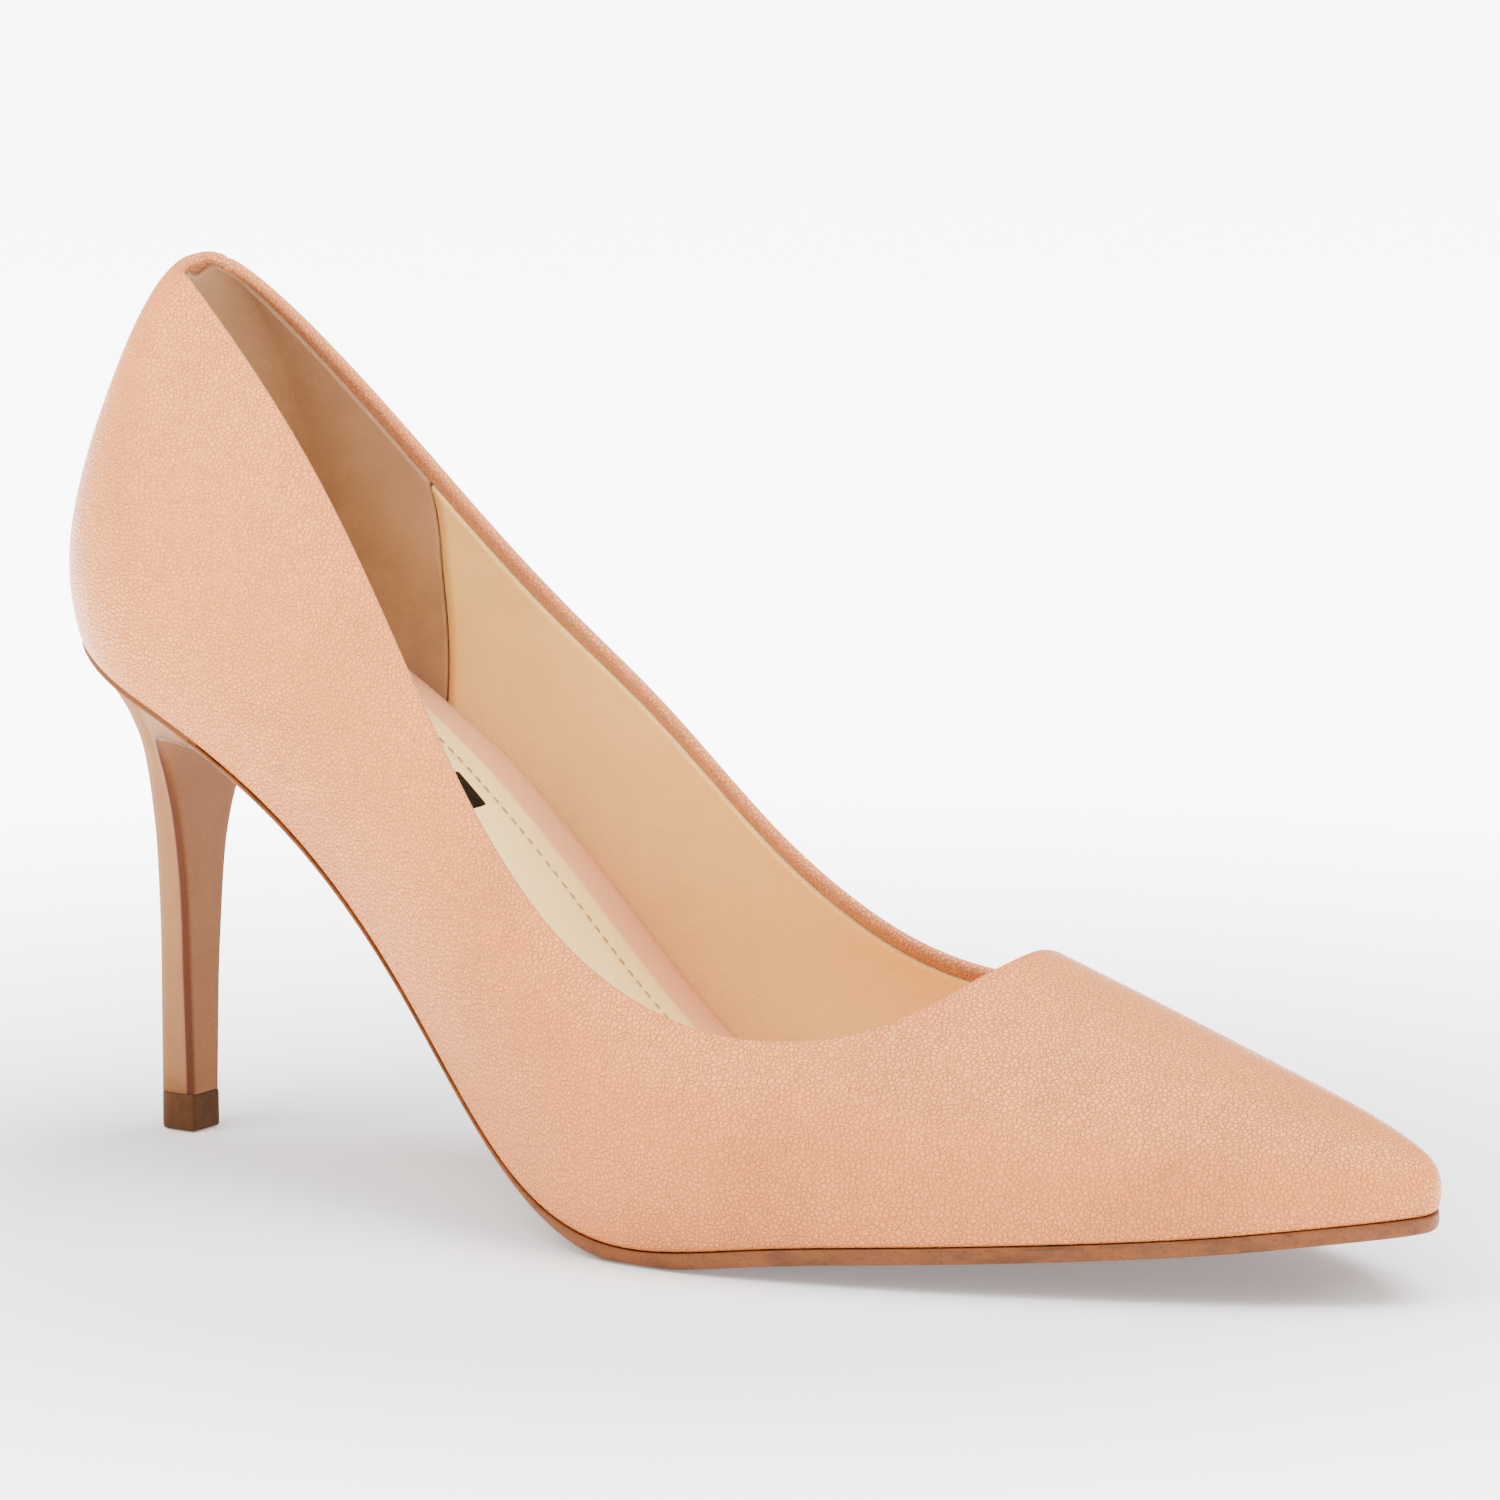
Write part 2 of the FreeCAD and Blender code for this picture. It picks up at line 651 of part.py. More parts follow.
def loop_sketch(label, points, pieces=12):
    """Smooth closed outline, drawn as equal pieces of one periodic spline."""
    sketch = doc.addObject("Sketcher::SketchObject", label)
    sketch.Placement = FreeCAD.Placement(Vec(0, 0, -20), FreeCAD.Rotation())
    curve = Part.BSplineCurve()
    curve.interpolate(Points=points, PeriodicFlag=True)
    breaks = even(curve.FirstParameter, curve.LastParameter, pieces + 1)
    for low, high in zip(breaks, breaks[1:]):
        sketch.addGeometry(curve.toBSpline(low, high), False)
    return sketch


def band_sketch(label, limits, low_of, high_of, step=6.0):
    """Side profile of a plate between two height functions, drawn on the XZ plane.

    limits: x values of both ends and of any breaks between them.
    """
    sketch = doc.addObject("Sketcher::SketchObject", label)
    sketch.Placement = FreeCAD.Placement(Vec(0, 0, 0), FreeCAD.Rotation(Vec(1, 0, 0), 90))
    for x_low, x_high in zip(limits, limits[1:]):
        count = max(int((x_high - x_low) / step), 6)
        for height_of in (low_of, high_of):
            points = [Vec(x, height_of(x), 0) for x in even(x_low, x_high, count)]
            sketch.addGeometry(curve_through(points, even(0.0, 1.0, count)), False)
    for x in (limits[0], limits[-1]):
        sketch.addGeometry(Part.LineSegment(Vec(x, low_of(x), 0), Vec(x, high_of(x), 0)), False)
    return sketch


def extruded(label, sketch, direction, length_alias, symmetric):
    obj = doc.addObject("Part::Extrusion", label)
    obj.Base = sketch
    obj.DirMode = "Custom"
    obj.Dir = direction
    obj.Solid = True
    obj.Symmetric = symmetric
    obj.setExpression("LengthFwd", "sizes.%s" % length_alias)
    return obj


def stack_plate(label, outline, limits, low_of, high_of, kept=True):
    """Plate of the bottom stack: a plan outline met with a side profile."""
    plan = extruded(label + "_plan", outline, Vec(0, 0, 1), "stack_height", False)
    profile = band_sketch(label + "_profile", limits, low_of, high_of)
    plate = doc.addObject("Part::Common", label + "_blank")
    plate.Base = plan
    plate.Tool = extruded(label + "_band", profile, Vec(0, 1, 0), "stack_width", True)
    return keep(plate, label) if kept else plate


def above_base(distance):
    return lambda x: base_z(x) + distance


STACK = size("margin_stack")
BOARD_TOP = STACK + size("board_thickness")
FOAM_TOP = BOARD_TOP + size("foam_thickness")
SOCK_TOP = FOAM_TOP + size("sock_thickness")
PAD_TOP = SOCK_TOP + size("pad_thickness")
FAR_BACK = -16.0
FAR_TOE = TOE_X + 4.0


def sole_bottom(x):
    blend = smooth_step(84.0, 112.0, x)
    waist, fore = size("sole_waist_thickness"), size("sole_fore_thickness")
    return base_z(x) - (waist + (fore - waist) * blend)


def nail_frame(x, y, rise):
    """Placement on the seat with its axis square to the base profile."""
    slope = math.atan2(base_z(x + 0.5) - base_z(x - 0.5), 1.0)
    turn = FreeCAD.Rotation(Vec(0, 1, 0), -math.degrees(slope))
    return FreeCAD.Placement(Vec(x, y, base_z(x)) + turn.multVec(Vec(0, 0, rise)), turn)


def cylinder(label, radius_alias, height_alias, placement):
    obj = doc.addObject("Part::Cylinder", label)
    obj.setExpression("Radius", "sizes.%s" % radius_alias)
    obj.setExpression("Height", "sizes.%s" % height_alias)
    obj.Placement = placement
    return obj


def fused(label, members):
    obj = doc.addObject("Part::MultiFuse", label)
    obj.Shapes = members
    return obj


def cut(label, base, tool):
    obj = doc.addObject("Part::Cut", label + "_cut")
    obj.Base = base
    obj.Tool = tool
    return obj


NAIL_SPOTS = [(0.0, -9.0), (0.0, 9.0), (9.0, -11.0), (9.0, 11.0)]
SCREW_SPOT = (8.0, 0.0)
RIVET_SPOTS = {"rear": (26.0, -0.6), "front": (104.0, -4.4)}


def headed_pin(label, spot, top, radius, length, head_radius, head_height):
    """Shaft with a flat head whose upper face is at the given height over the base profile."""
    x, y = spot
    shaft = cylinder(label + "_shaft", radius, length, nail_frame(x, y, top - size(length)))
    head = cylinder(label + "_head", head_radius, head_height, nail_frame(x, y, top - size(head_height)))
    return fused(label, [shaft, head])


def fastener_set(prefix):
    pins = [headed_pin("%s_nail_%d" % (prefix, k + 1), spot, BOARD_TOP, "nail_radius", "nail_length",
                       "nail_head_radius", "head_thickness") for k, spot in enumerate(NAIL_SPOTS)]
    pins.append(headed_pin("%s_screw" % prefix, SCREW_SPOT, BOARD_TOP, "screw_radius", "screw_length",
                           "screw_head_radius", "screw_head_thickness"))
    return pins


def rivet(prefix, name):
    x, y = RIVET_SPOTS[name]
    spin = FreeCAD.Placement(Vec(), FreeCAD.Rotation(Vec(0, 0, 1), 90))
    frame = nail_frame(x, y, BOARD_TOP - size("rivet_length")).multiply(spin)
    return cylinder("%s_rivet_%s" % (prefix, name), "rivet_radius", "rivet_length", frame)


for pin in fastener_set("heel"):
    keep(pin, pin.Name)
for name in RIVET_SPOTS:
    keep(rivet("shank", name), "shank_rivet_%s" % name)

holes = fused("fastener_holes", fastener_set("hole"))
rivet_holes = fused("rivet_holes", [rivet("hole", name) for name in RIVET_SPOTS])

# Steel shank, a slightly tapered strip under the insole board.
SHANK_BACK, SHANK_FRONT = 21.0, 112.0


def shank_outline(label, extra):
    half_back, half_front = 6.0 + extra, 4.6 + extra
    middle_back, middle_front = -0.4, -4.8
    back, front = SHANK_BACK - extra, SHANK_FRONT + extra
    corners = [
        Vec(back, middle_back - half_back, 0), Vec(front, middle_front - half_front, 0),
        Vec(front, middle_front + half_front, 0), Vec(back, middle_back + half_back, 0)]
    return plan_sketch(label, [[a, b] for a, b in zip(corners, corners[1:] + corners[:1])])


shank_blank = stack_plate(
    "steel_shank", shank_outline("steel_shank_outline", 0.0), [SHANK_BACK - 4.0, SHANK_FRONT + 4.0],
    above_base(STACK - size("shank_thickness")), above_base(STACK), kept=False)
keep(cut("steel_shank", shank_blank, rivet_holes), "steel_shank")

# Tuck board round the shank: heel seat and waist.
MARGIN_INSET = size("margin_inset")
TUCK_BACK, TUCK_FRONT = 4.0, 114.0
tuck_lateral = inset_side(MARGIN_INSET, TUCK_BACK + 9.0, TUCK_FRONT, LATERAL)
tuck_medial = inset_side(MARGIN_INSET, TUCK_BACK + 9.0, TUCK_FRONT, MEDIAL)
tuck_outline = plan_sketch("tuck_outline", [
    tuck_lateral, [tuck_lateral[-1], tuck_medial[-1]], tuck_medial[::-1],
    [tuck_medial[0], Vec(TUCK_BACK, 6.0, 0)], [Vec(TUCK_BACK, 6.0, 0), Vec(TUCK_BACK, -6.0, 0)],
    [Vec(TUCK_BACK, -6.0, 0), tuck_lateral[0]]])
tuck_blank = stack_plate("tuck_board", tuck_outline, [TUCK_BACK - 4.0, TUCK_FRONT + 4.0],
                         above_base(0.0), above_base(STACK), kept=False)
slot = stack_plate("shank_slot", shank_outline("shank_slot_outline", size("shank_clearance")),
                   [SHANK_BACK - 6.0, SHANK_FRONT + 6.0],
                   above_base(-2.0), above_base(STACK + 2.0), kept=False)
keep(cut("tuck_board", cut("tuck_slotted", tuck_blank, slot), holes), "tuck_board")

# Cork filler in front of the tuck board.
FILLER_BACK, FILLER_FRONT = 114.5, 192.0
filler_lateral = inset_side(MARGIN_INSET, FILLER_BACK, FILLER_FRONT, LATERAL)
filler_medial = inset_side(MARGIN_INSET, FILLER_BACK, FILLER_FRONT, MEDIAL)
filler_outline = plan_sketch("filler_outline", [
    filler_lateral, [filler_lateral[-1], filler_medial[-1]], filler_medial[::-1],
    [filler_medial[0], filler_lateral[0]]])
stack_plate("bottom_filler", filler_outline, [FILLER_BACK - 4.0, FILLER_FRONT + 4.0],
            above_base(0.0), above_base(STACK))

board_outline = loop_sketch("board_outline", inside_loop(STACK, BOARD_TOP, plain(BACKED), 0.4))
BOARD_BREAKS = [FAR_BACK, 18.0, 34.0, 65.0, 97.0, 111.0, 150.0, FAR_TOE]
board_blank = stack_plate("insole_board", board_outline, BOARD_BREAKS,
                          above_base(STACK), above_base(BOARD_TOP), kept=False)
keep(cut("insole_board", cut("board_nailed", board_blank, holes), rivet_holes), "insole_board")


def room_depth(u, v):
    return lined_depth(u, v) + LINING


stack_plate("insock_foam", loop_sketch("foam_outline", inside_loop(BOARD_TOP, FOAM_TOP, room_depth, 0.6)),
            [FAR_BACK, FAR_TOE], above_base(BOARD_TOP), above_base(FOAM_TOP))
stack_plate("insock", loop_sketch("sock_outline", inside_loop(FOAM_TOP, SOCK_TOP, room_depth, 0.4)),
            [FAR_BACK, FAR_TOE], above_base(FOAM_TOP), above_base(SOCK_TOP))

PAD_FRONT = 122.0
pad_points = []
for turn in even(-0.98, 0.98, 41):
    pad_points.append(feather_at(turn * 0.56, size("pad_inset")))
pad_outline = plan_sketch("pad_outline", [pad_points, [pad_points[-1], pad_points[0]]])
stack_plate("insock_pad", pad_outline, [FAR_BACK, PAD_FRONT + 20.0],
            above_base(SOCK_TOP), above_base(PAD_TOP))

label_frame = nail_frame(size("label_x"), size("label_y"), PAD_TOP)
label_plate = doc.addObject("Part::Box", "insock_label")
label_plate.setExpression("Length", "sizes.label_length")
label_plate.setExpression("Width", "sizes.label_width")
label_plate.setExpression("Height", "sizes.label_thickness")
half_label = Vec(size("label_length") / 2, size("label_width") / 2, 0)
label_plate.Placement = FreeCAD.Placement(
    label_frame.Base - label_frame.Rotation.multVec(half_label), label_frame.Rotation)
keep(label_plate, "insock_label")

# Outsole: skived thin in the waist, level where it treads.
SEAT_FRONT = size("seat_front")
sole_loop = loop_sketch("sole_outline", feather_loop())
sole_blank = stack_plate("outsole", sole_loop, [SEAT_FRONT + 0.6, FAR_TOE],
                         sole_bottom, above_base(0.0), kept=False)
ground_trim = doc.addObject("Part::Box", "ground_trim")
ground_trim.setExpression("Length", "sizes.trim_length")
ground_trim.setExpression("Width", "sizes.trim_width")
ground_trim.setExpression("Height", "sizes.trim_height")
ground_trim.Placement = FreeCAD.Placement(
    Vec(-40, -size("trim_width") / 2, -size("trim_height")), FreeCAD.Rotation())
keep(cut("outsole", sole_blank, ground_trim), "outsole")

# ---------------------------------------------------------------- heel
TIP_TOP = size("tip_height")
TIP_HALF = size("tip_half_width")
FLAP = size("flap_thickness")
FLARE = {name: size_list("flare_" + name) for name in ("step", "back_x", "back_y", "edge_x", "edge_y")}


def tip_outline(turn):
    """Half-round tip outline without its front.  turn: -1 lateral edge, 0 back, 1 medial edge."""
    side = LATERAL if turn < 0 else MEDIAL
    round_x = size("tip_back") + TIP_HALF
    straight = size("tip_front") - FLAP - round_x
    quarter = TIP_HALF * math.pi / 2.0
    distance = abs(turn) * (straight + quarter)
    if distance < quarter:
        angle = distance / TIP_HALF
        return Vec(round_x - TIP_HALF * math.cos(angle), side * TIP_HALF * math.sin(angle), 0)
    return Vec(round_x + distance - quarter, side * TIP_HALF, 0)


def seat_outline(turn):
    """Seat outline matched to the tip outline, from the back to the seat front."""
    side = LATERAL if turn < 0 else MEDIAL
    lengths, stations = FEATHER_LENGTH[side]
    q_end = station_of(SEAT_FRONT)
    length_end = linear_map(stations, lengths, q_end)
    point = plan_point(linear_map(lengths, stations, abs(turn) * length_end), 0.0, side)
    return Vec(point.x, point.y + shift_at(point.x), 0)


def heel_point(turn, step):
    """Outer face of the covered heel.  step: 0 tip, 1 seat."""
    edge = abs(turn) ** 2
    edge += (1.0 - edge) * smooth_step(0.6, 1.0, abs(turn))
    open_x = (1 - edge) * smooth_map(FLARE["step"], FLARE["back_x"], step) \
        + edge * smooth_map(FLARE["step"], FLARE["edge_x"], step)
    open_y = (1 - edge) * smooth_map(FLARE["step"], FLARE["back_y"], step) \
        + edge * smooth_map(FLARE["step"], FLARE["edge_y"], step)
    low, high = tip_outline(turn), seat_outline(turn)
    top = base_z(high.x) - size("seat_rim_drop")
    rise = 1.0 - (1.0 - step) ** 2
    return Vec(low.x + (high.x - low.x) * open_x, low.y + (high.y - low.y) * open_y,
               TIP_TOP + (top - TIP_TOP) * rise)


HEEL_STEPS = even(0.0, 1.0, 41)
HEEL_TURNS = even(-1.0, 1.0, 45)
heel_outer = [[heel_point(turn, step) for step in HEEL_STEPS] for turn in HEEL_TURNS]
heel_skin = surface_through(heel_outer, HEEL_STEPS, even(0.0, 1.0, len(HEEL_TURNS)))
edge_lateral, edge_medial = heel_outer[0], heel_outer[-1]


def heel_normal(u, v):
    low_u, high_u = max(u - 0.004, 0.0), min(u + 0.004, 1.0)
    low_v, high_v = max(v - 0.004, 0.0), min(v + 0.004, 1.0)
    along = heel_skin.value(high_u, v) - heel_skin.value(low_u, v)
    up = heel_skin.value(u, high_v) - heel_skin.value(u, low_v)
    return along.cross(up).normalize()


HEEL_SIGN = 1.0 if heel_normal(0.1, 0.2).y > 0 else -1.0


def breast_x(y, z):
    """Forward limit of the heel at a height: the face that carries the breast flap."""
    ends = []
    for edge in (edge_lateral, edge_medial):
        heights = [point.z for point in edge]
        ends.append((linear_map(heights, [point.x for point in edge], z),
                     linear_map(heights, [point.y for point in edge], z)))
    (x_low, y_low), (x_high, y_high) = ends
    return x_low + (x_high - x_low) * min(max((y - y_low) / (y_high - y_low), 0.0), 1.0)


def heel_depth(u, v, depth):
    """Point under the heel's outer face, kept behind the breast."""
    moved = heel_skin.value(u, v) + heel_normal(u, v) * (HEEL_SIGN * depth)
    if v <= 0.0:
        moved.z = TIP_TOP
    moved.x = min(moved.x, breast_x(moved.y, moved.z))
    return moved


COVER = size("cover_thickness")
heel_us = even(0.0, 1.0, len(HEEL_TURNS))
cover_inner = [[heel_depth(u, v, COVER) for v in HEEL_STEPS] for u in heel_us]
free_solid("heel_cover", sheet_solid(heel_outer, cover_inner))

# Core: the covered form, run up past the seat and then trimmed to the base profile.
ROOF = 100.0


def with_roof(column):
    top = column[-1]
    return column + [Vec(top.x, top.y, top.z + (ROOF - top.z) * share) for share in (0.04, 0.3, 1.0)]


core_grid = [with_roof(column) for column in cover_inner]
core_rows = HEEL_STEPS + [1.03, 1.2, 1.7]
core_skin = surface_through(core_grid, core_rows, heel_us)
core_breast = ruled_face(core_skin.uIso(0.0), core_skin.uIso(1.0))


def cap_of(row):
    rim = core_skin.vIso(row).toShape()
    front = Part.makeLine(core_skin.value(1.0, row), core_skin.value(0.0, row))
    return Part.Face(Part.Wire([rim, front]))


core_shape = closed_solid([core_skin.toShape(), core_breast, cap_of(0.0), cap_of(core_rows[-1])])
core_form = doc.addObject("Part::Feature", "heel_form")
core_form.Shape = core_shape
core_form.Placement = FreeCAD.Placement()
under_base_profile = band_sketch("under_base_profile", [-18.0, 40.0], lambda x: 0.0, above_base(0.0))
under_base = extruded("under_base", under_base_profile, Vec(0, 1, 0), "stack_width", True)
core_trimmed = doc.addObject("Part::Common", "heel_core_trimmed")
core_trimmed.Base = core_form
core_trimmed.Tool = under_base

pin_frame = FreeCAD.Placement(Vec(-0.4, 0, size("pin_low")), FreeCAD.Rotation())
dowel_frame = FreeCAD.Placement(Vec(-0.4, 0, TIP_TOP), FreeCAD.Rotation())
dowel_bore = cylinder("dowel_bore", "dowel_radius", "dowel_length", dowel_frame)
core_bored = cut("core_bored", core_trimmed, dowel_bore)
keep(cut("heel_core", core_bored, holes), "heel_core")

dowel_rod = cylinder("dowel_rod", "dowel_radius", "dowel_length", dowel_frame)
pin_bore = cylinder("pin_bore", "pin_radius", "pin_length", pin_frame)
keep(cut("heel_dowel", dowel_rod, pin_bore), "heel_dowel")
keep(cylinder("top_lift_pin", "pin_radius", "pin_length", pin_frame), "top_lift_pin")

# Breast flap: sole leather carried down the front of the heel.
flap_inner, flap_outer = [], []
for share in even(0.0, 1.0, 9):
    line = [a + (b - a) * share for a, b in zip(edge_lateral, edge_medial)]
    flap_inner.append(line)
    moved = []
    for k, point in enumerate(line):
        along = line[min(k + 1, len(line) - 1)] - line[max(k - 1, 0)]
        normal = Vec(along.z, 0, -along.x).normalize()
        moved.append(point + normal * FLAP)
    moved[0].z = TIP_TOP
    flap_outer.append(moved)
free_solid("heel_breast_flap", sheet_solid(flap_inner, flap_outer))

# Top lift: half-round block with a flat front and a blind bore for its pin.
body = doc.addObject("PartDesign::Body", "top_lift_body")


def origin_plane(owner, role):
    return [f for f in owner.Origin.OriginFeatures if f.Role == role][0]


outline = body.newObject("Sketcher::SketchObject", "top_lift_outline")
outline.AttachmentSupport = [(origin_plane(body, "XY_Plane"), "")]
outline.MapMode = "FlatFace"
round_centre = Vec(size("tip_back") + TIP_HALF, 0, 0)
front_x = size("tip_front")
arc = Part.ArcOfCircle(Part.Circle(round_centre, Vec(0, 0, 1), TIP_HALF), math.pi / 2.0, 3.0 * math.pi / 2.0)
high_corner = Vec(front_x, TIP_HALF, 0)
low_corner = Vec(front_x, -TIP_HALF, 0)
outline.addGeometry(arc, False)
outline.addGeometry(Part.LineSegment(Vec(round_centre.x, -TIP_HALF, 0), low_corner), False)
outline.addGeometry(Part.LineSegment(low_corner, high_corner), False)
outline.addGeometry(Part.LineSegment(high_corner, Vec(round_centre.x, TIP_HALF, 0)), False)
pad = body.newObject("PartDesign::Pad", "top_lift_pad")
pad.Profile = outline
pad.setExpression("Length", "sizes.tip_height")
bore_sketch = body.newObject("Sketcher::SketchObject", "top_lift_bore_outline")
bore_sketch.AttachmentSupport = [(origin_plane(body, "XY_Plane"), "")]
bore_sketch.MapMode = "FlatFace"
bore_sketch.setExpression(".AttachmentOffset.Base.z", "sizes.tip_height")
bore_sketch.addGeometry(Part.Circle(Vec(-0.4, 0, 0), Vec(0, 0, 1), size("pin_radius")), False)
doc.recompute()
bore = body.newObject("PartDesign::Pocket", "top_lift_bore")
bore.Profile = bore_sketch
bore.setExpression("Length", "sizes.tip_height - sizes.pin_low")
body.Tip = bore
keep(body, "top_lift")

# ---------------------------------------------------------------- checks and export
doc.recompute()
problems = []
for obj in doc.Objects:
    if "Invalid" in obj.State or "Error" in obj.State:
        problems.append("%s: %s" % (obj.Name, obj.State))
for obj in nodes:
    shape = obj.Shape
    if shape.isNull() or not shape.isValid() or len(shape.Solids) == 0:
        problems.append("%s: bad shape" % obj.Label)
        continue
    shape.exportStep("parts/%s.step" % obj.Label)
    print("%-22s solids %d  volume %.1f" % (obj.Label, len(shape.Solids), shape.Volume))
if problems:
    raise RuntimeError("; ".join(problems))
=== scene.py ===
import math

import bpy
import numpy as np
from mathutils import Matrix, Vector


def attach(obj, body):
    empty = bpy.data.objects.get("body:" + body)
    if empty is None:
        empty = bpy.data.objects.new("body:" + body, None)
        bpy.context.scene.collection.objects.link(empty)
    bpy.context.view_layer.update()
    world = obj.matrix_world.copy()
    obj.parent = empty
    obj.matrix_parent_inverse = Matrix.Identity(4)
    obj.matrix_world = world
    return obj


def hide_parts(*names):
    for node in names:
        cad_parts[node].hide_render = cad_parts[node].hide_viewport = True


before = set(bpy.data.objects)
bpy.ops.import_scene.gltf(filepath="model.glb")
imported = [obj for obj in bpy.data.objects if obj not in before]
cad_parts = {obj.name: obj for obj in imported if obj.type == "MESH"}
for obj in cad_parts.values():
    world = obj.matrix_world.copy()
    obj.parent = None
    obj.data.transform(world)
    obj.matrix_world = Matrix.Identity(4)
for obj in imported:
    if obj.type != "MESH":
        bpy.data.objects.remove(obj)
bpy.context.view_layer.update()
MM = 0.001

# ------------------------------------------------------------------ the last, in millimetres
# Control values from the back of the shoe to the toe: base height, half widths of the plan, crest height,
# how far the wall bulges and how fast it rises, side shift and lean. q runs 0..1 along the side and
# -1..0 round the heel; t runs 0..1 from the feather line up to the crest; side is -1 outer, +1 inner.
FAN_X, TOE_X, BASE_X = 13.1, 224.0, -26.0
BASE = [87.8, 87.1, 80.9, 70.6, 56.7, 33.9, 8.0, 0.4, 4.7, 6.4, 8.1, 10.1, 12.4, 13.0]
WIDTH_LATERAL = [29.0, 29.0, 30.2, 47.3, 45.0, 32.4, 19.0, 8.5, 2.3, 0.0]
WIDTH_MEDIAL = [29.0, 29.0, 25.8, 33.2, 34.9, 29.5, 18.9, 8.5, 2.2, 0.0]
CREST = [66.0, 66.0, 62.6, 55.4, 41.3, 26.7, 17.0, 9.3, 6.7, 0.0]
BULGE_LOW = [1.17, 1.17, 1.20, 1.16, 1.085, 1.05, 1.045, 1.045, 1.05, 1.05]
BULGE_MID = [0.85, 0.85, 1.02, 1.05, 0.98, 0.94, 0.94, 0.945, 0.95, 0.95]
BULGE_TOP = [0.50, 0.50, 0.50, 0.45, 0.30, 0.35, 0.45, 0.50, 0.50, 0.50]
RISE_LOW = [0.27, 0.27, 0.28, 0.30, 0.30, 0.30, 0.30, 0.30, 0.30, 0.30]
RISE_MID = [0.60, 0.60, 0.62, 0.68, 0.70, 0.70, 0.70, 0.70, 0.70, 0.70]
SHIFT = [0.0, 0.0, 3.9, 0.25, 4.5, 4.0, 1.9, 1.0, 0.0, 0.0]
LEAN = [-0.075, -0.075, 0.165, 0.24, 0.0, 0.0, 0.0, 0.0, 0.20, 0.33]
REACH = [24.1, 30.4, 11.8, 12.3, 0.0]
TOP_STATIONS = [14.0, 40.0, 70.0, 104.0]
TOP_LATERAL = [135.9, 107.3, 63.3, 38.0]
TOP_MEDIAL = [138.0, 101.4, 71.1, 43.4]
TOP_BACK, TOP_CORNER_LATERAL, TOP_CORNER_MEDIAL = 148.5, 144.5, 146.8
THROAT_X, THROAT_SIDE_BACK, THROAT_LEVEL = 153.3, 8.5, 0.60
SEAM_TURN = 2.0 - 0.035
LOOP_LENGTH = 530.0
CORNER_LEG = 1.3
SEAT_FRONT = 24.0


def spline_value(control, fraction):
    """Clamped uniform cubic B-spline of the control values."""
    c = np.asarray(control, float)
    spans = len(c) - 3
    f = np.clip(np.asarray(fraction, float), 0, 1)
    knots = np.concatenate([[0, 0, 0], np.linspace(0, 1, spans + 1), [1, 1, 1]])
    span = np.clip((f * spans).astype(int), 0, spans - 1) + 3
    d = [c[span - 3 + j] for j in range(4)]
    for level in range(1, 4):
        for j in range(3, level - 1, -1):
            low, high = knots[span - 3 + j], knots[span + 1 + j - level]
            a = (f - low) / (high - low)
            d[j] = (1 - a) * d[j - 1] + a * d[j]
    return d[3]


def quartic(p, t):
    r = 1 - t
    return (p[0] * r ** 4 + 4 * p[1] * t * r ** 3 + 6 * p[2] * t ** 2 * r ** 2 + 4 * p[3] * t ** 3 * r
            + p[4] * t ** 4)


def smooth_map(xs, ys, x):
    """Monotone cubic through the points (xs, ys)."""
    xs, ys, x = np.asarray(xs, float), np.asarray(ys, float), np.asarray(x, float)
    slopes = np.diff(ys) / np.diff(xs)
    before, after = slopes[:-1], slopes[1:]
    total = np.where(before + after == 0, 1, before + after)
    inner = np.where(before * after > 0, 2 * before * after / total, 0)
    tangents = np.concatenate([[slopes[0]], inner, [slopes[-1]]])
    k = np.clip(np.searchsorted(xs, x, side="right") - 1, 0, len(xs) - 2)
    w = xs[k + 1] - xs[k]
    a = np.clip((x - xs[k]) / w, 0, 1)
    return ((2 * a ** 3 - 3 * a ** 2 + 1) * ys[k] + (a ** 3 - 2 * a ** 2 + a) * w * tangents[k]
            + (3 * a ** 2 - 2 * a ** 3) * ys[k + 1] + (a ** 3 - a ** 2) * w * tangents[k + 1])


def smooth_step(low, high, x):
    a = np.clip((x - low) / (high - low), 0, 1)
    return a * a * (3 - 2 * a)


def base_z(x):
    return spline_value(BASE, (x - BASE_X) / (TOE_X - BASE_X))


def station_x(q):
    return FAN_X + (TOE_X - FAN_X) * np.sin(np.pi * q / 2)


def station_of(x):
    return 2 / np.pi * np.arcsin(np.clip((np.asarray(x, float) - FAN_X) / (TOE_X - FAN_X), 0, 1))


def shift_at(x):
    return spline_value(SHIFT, station_of(x))


def half_width(u, side):
    return np.where(side < 0, spline_value(WIDTH_LATERAL, u), spline_value(WIDTH_MEDIAL, u))


def wall(q, t, side):
    """Point of the lasted surface."""
    q, t, side = np.broadcast_arrays(np.asarray(q, float), np.asarray(t, float), np.asarray(side, float))
    u = np.clip(q, 0, 1)
    w = half_width(u, side)
    across = quartic([w, w * spline_value(BULGE_LOW, u), w * spline_value(BULGE_MID, u),
                      w * spline_value(BULGE_TOP, u), 0 * w], t)
    h = spline_value(CREST, u)
    rise = quartic([0 * h, spline_value(RISE_LOW, u) * h, spline_value(RISE_MID, u) * h, h, h], t)
    turn = np.clip(q + 1, 0, 1) * np.pi / 2
    x = np.where(q < 0, FAN_X - quartic(REACH, t) * np.cos(turn), station_x(u))
    across = np.where(q < 0, across * np.sin(turn), across)
    x_out, y_out = x + spline_value(LEAN, u) * rise, spline_value(SHIFT, u) + side * across
    return np.stack([x_out, y_out, base_z(x) + rise], -1)


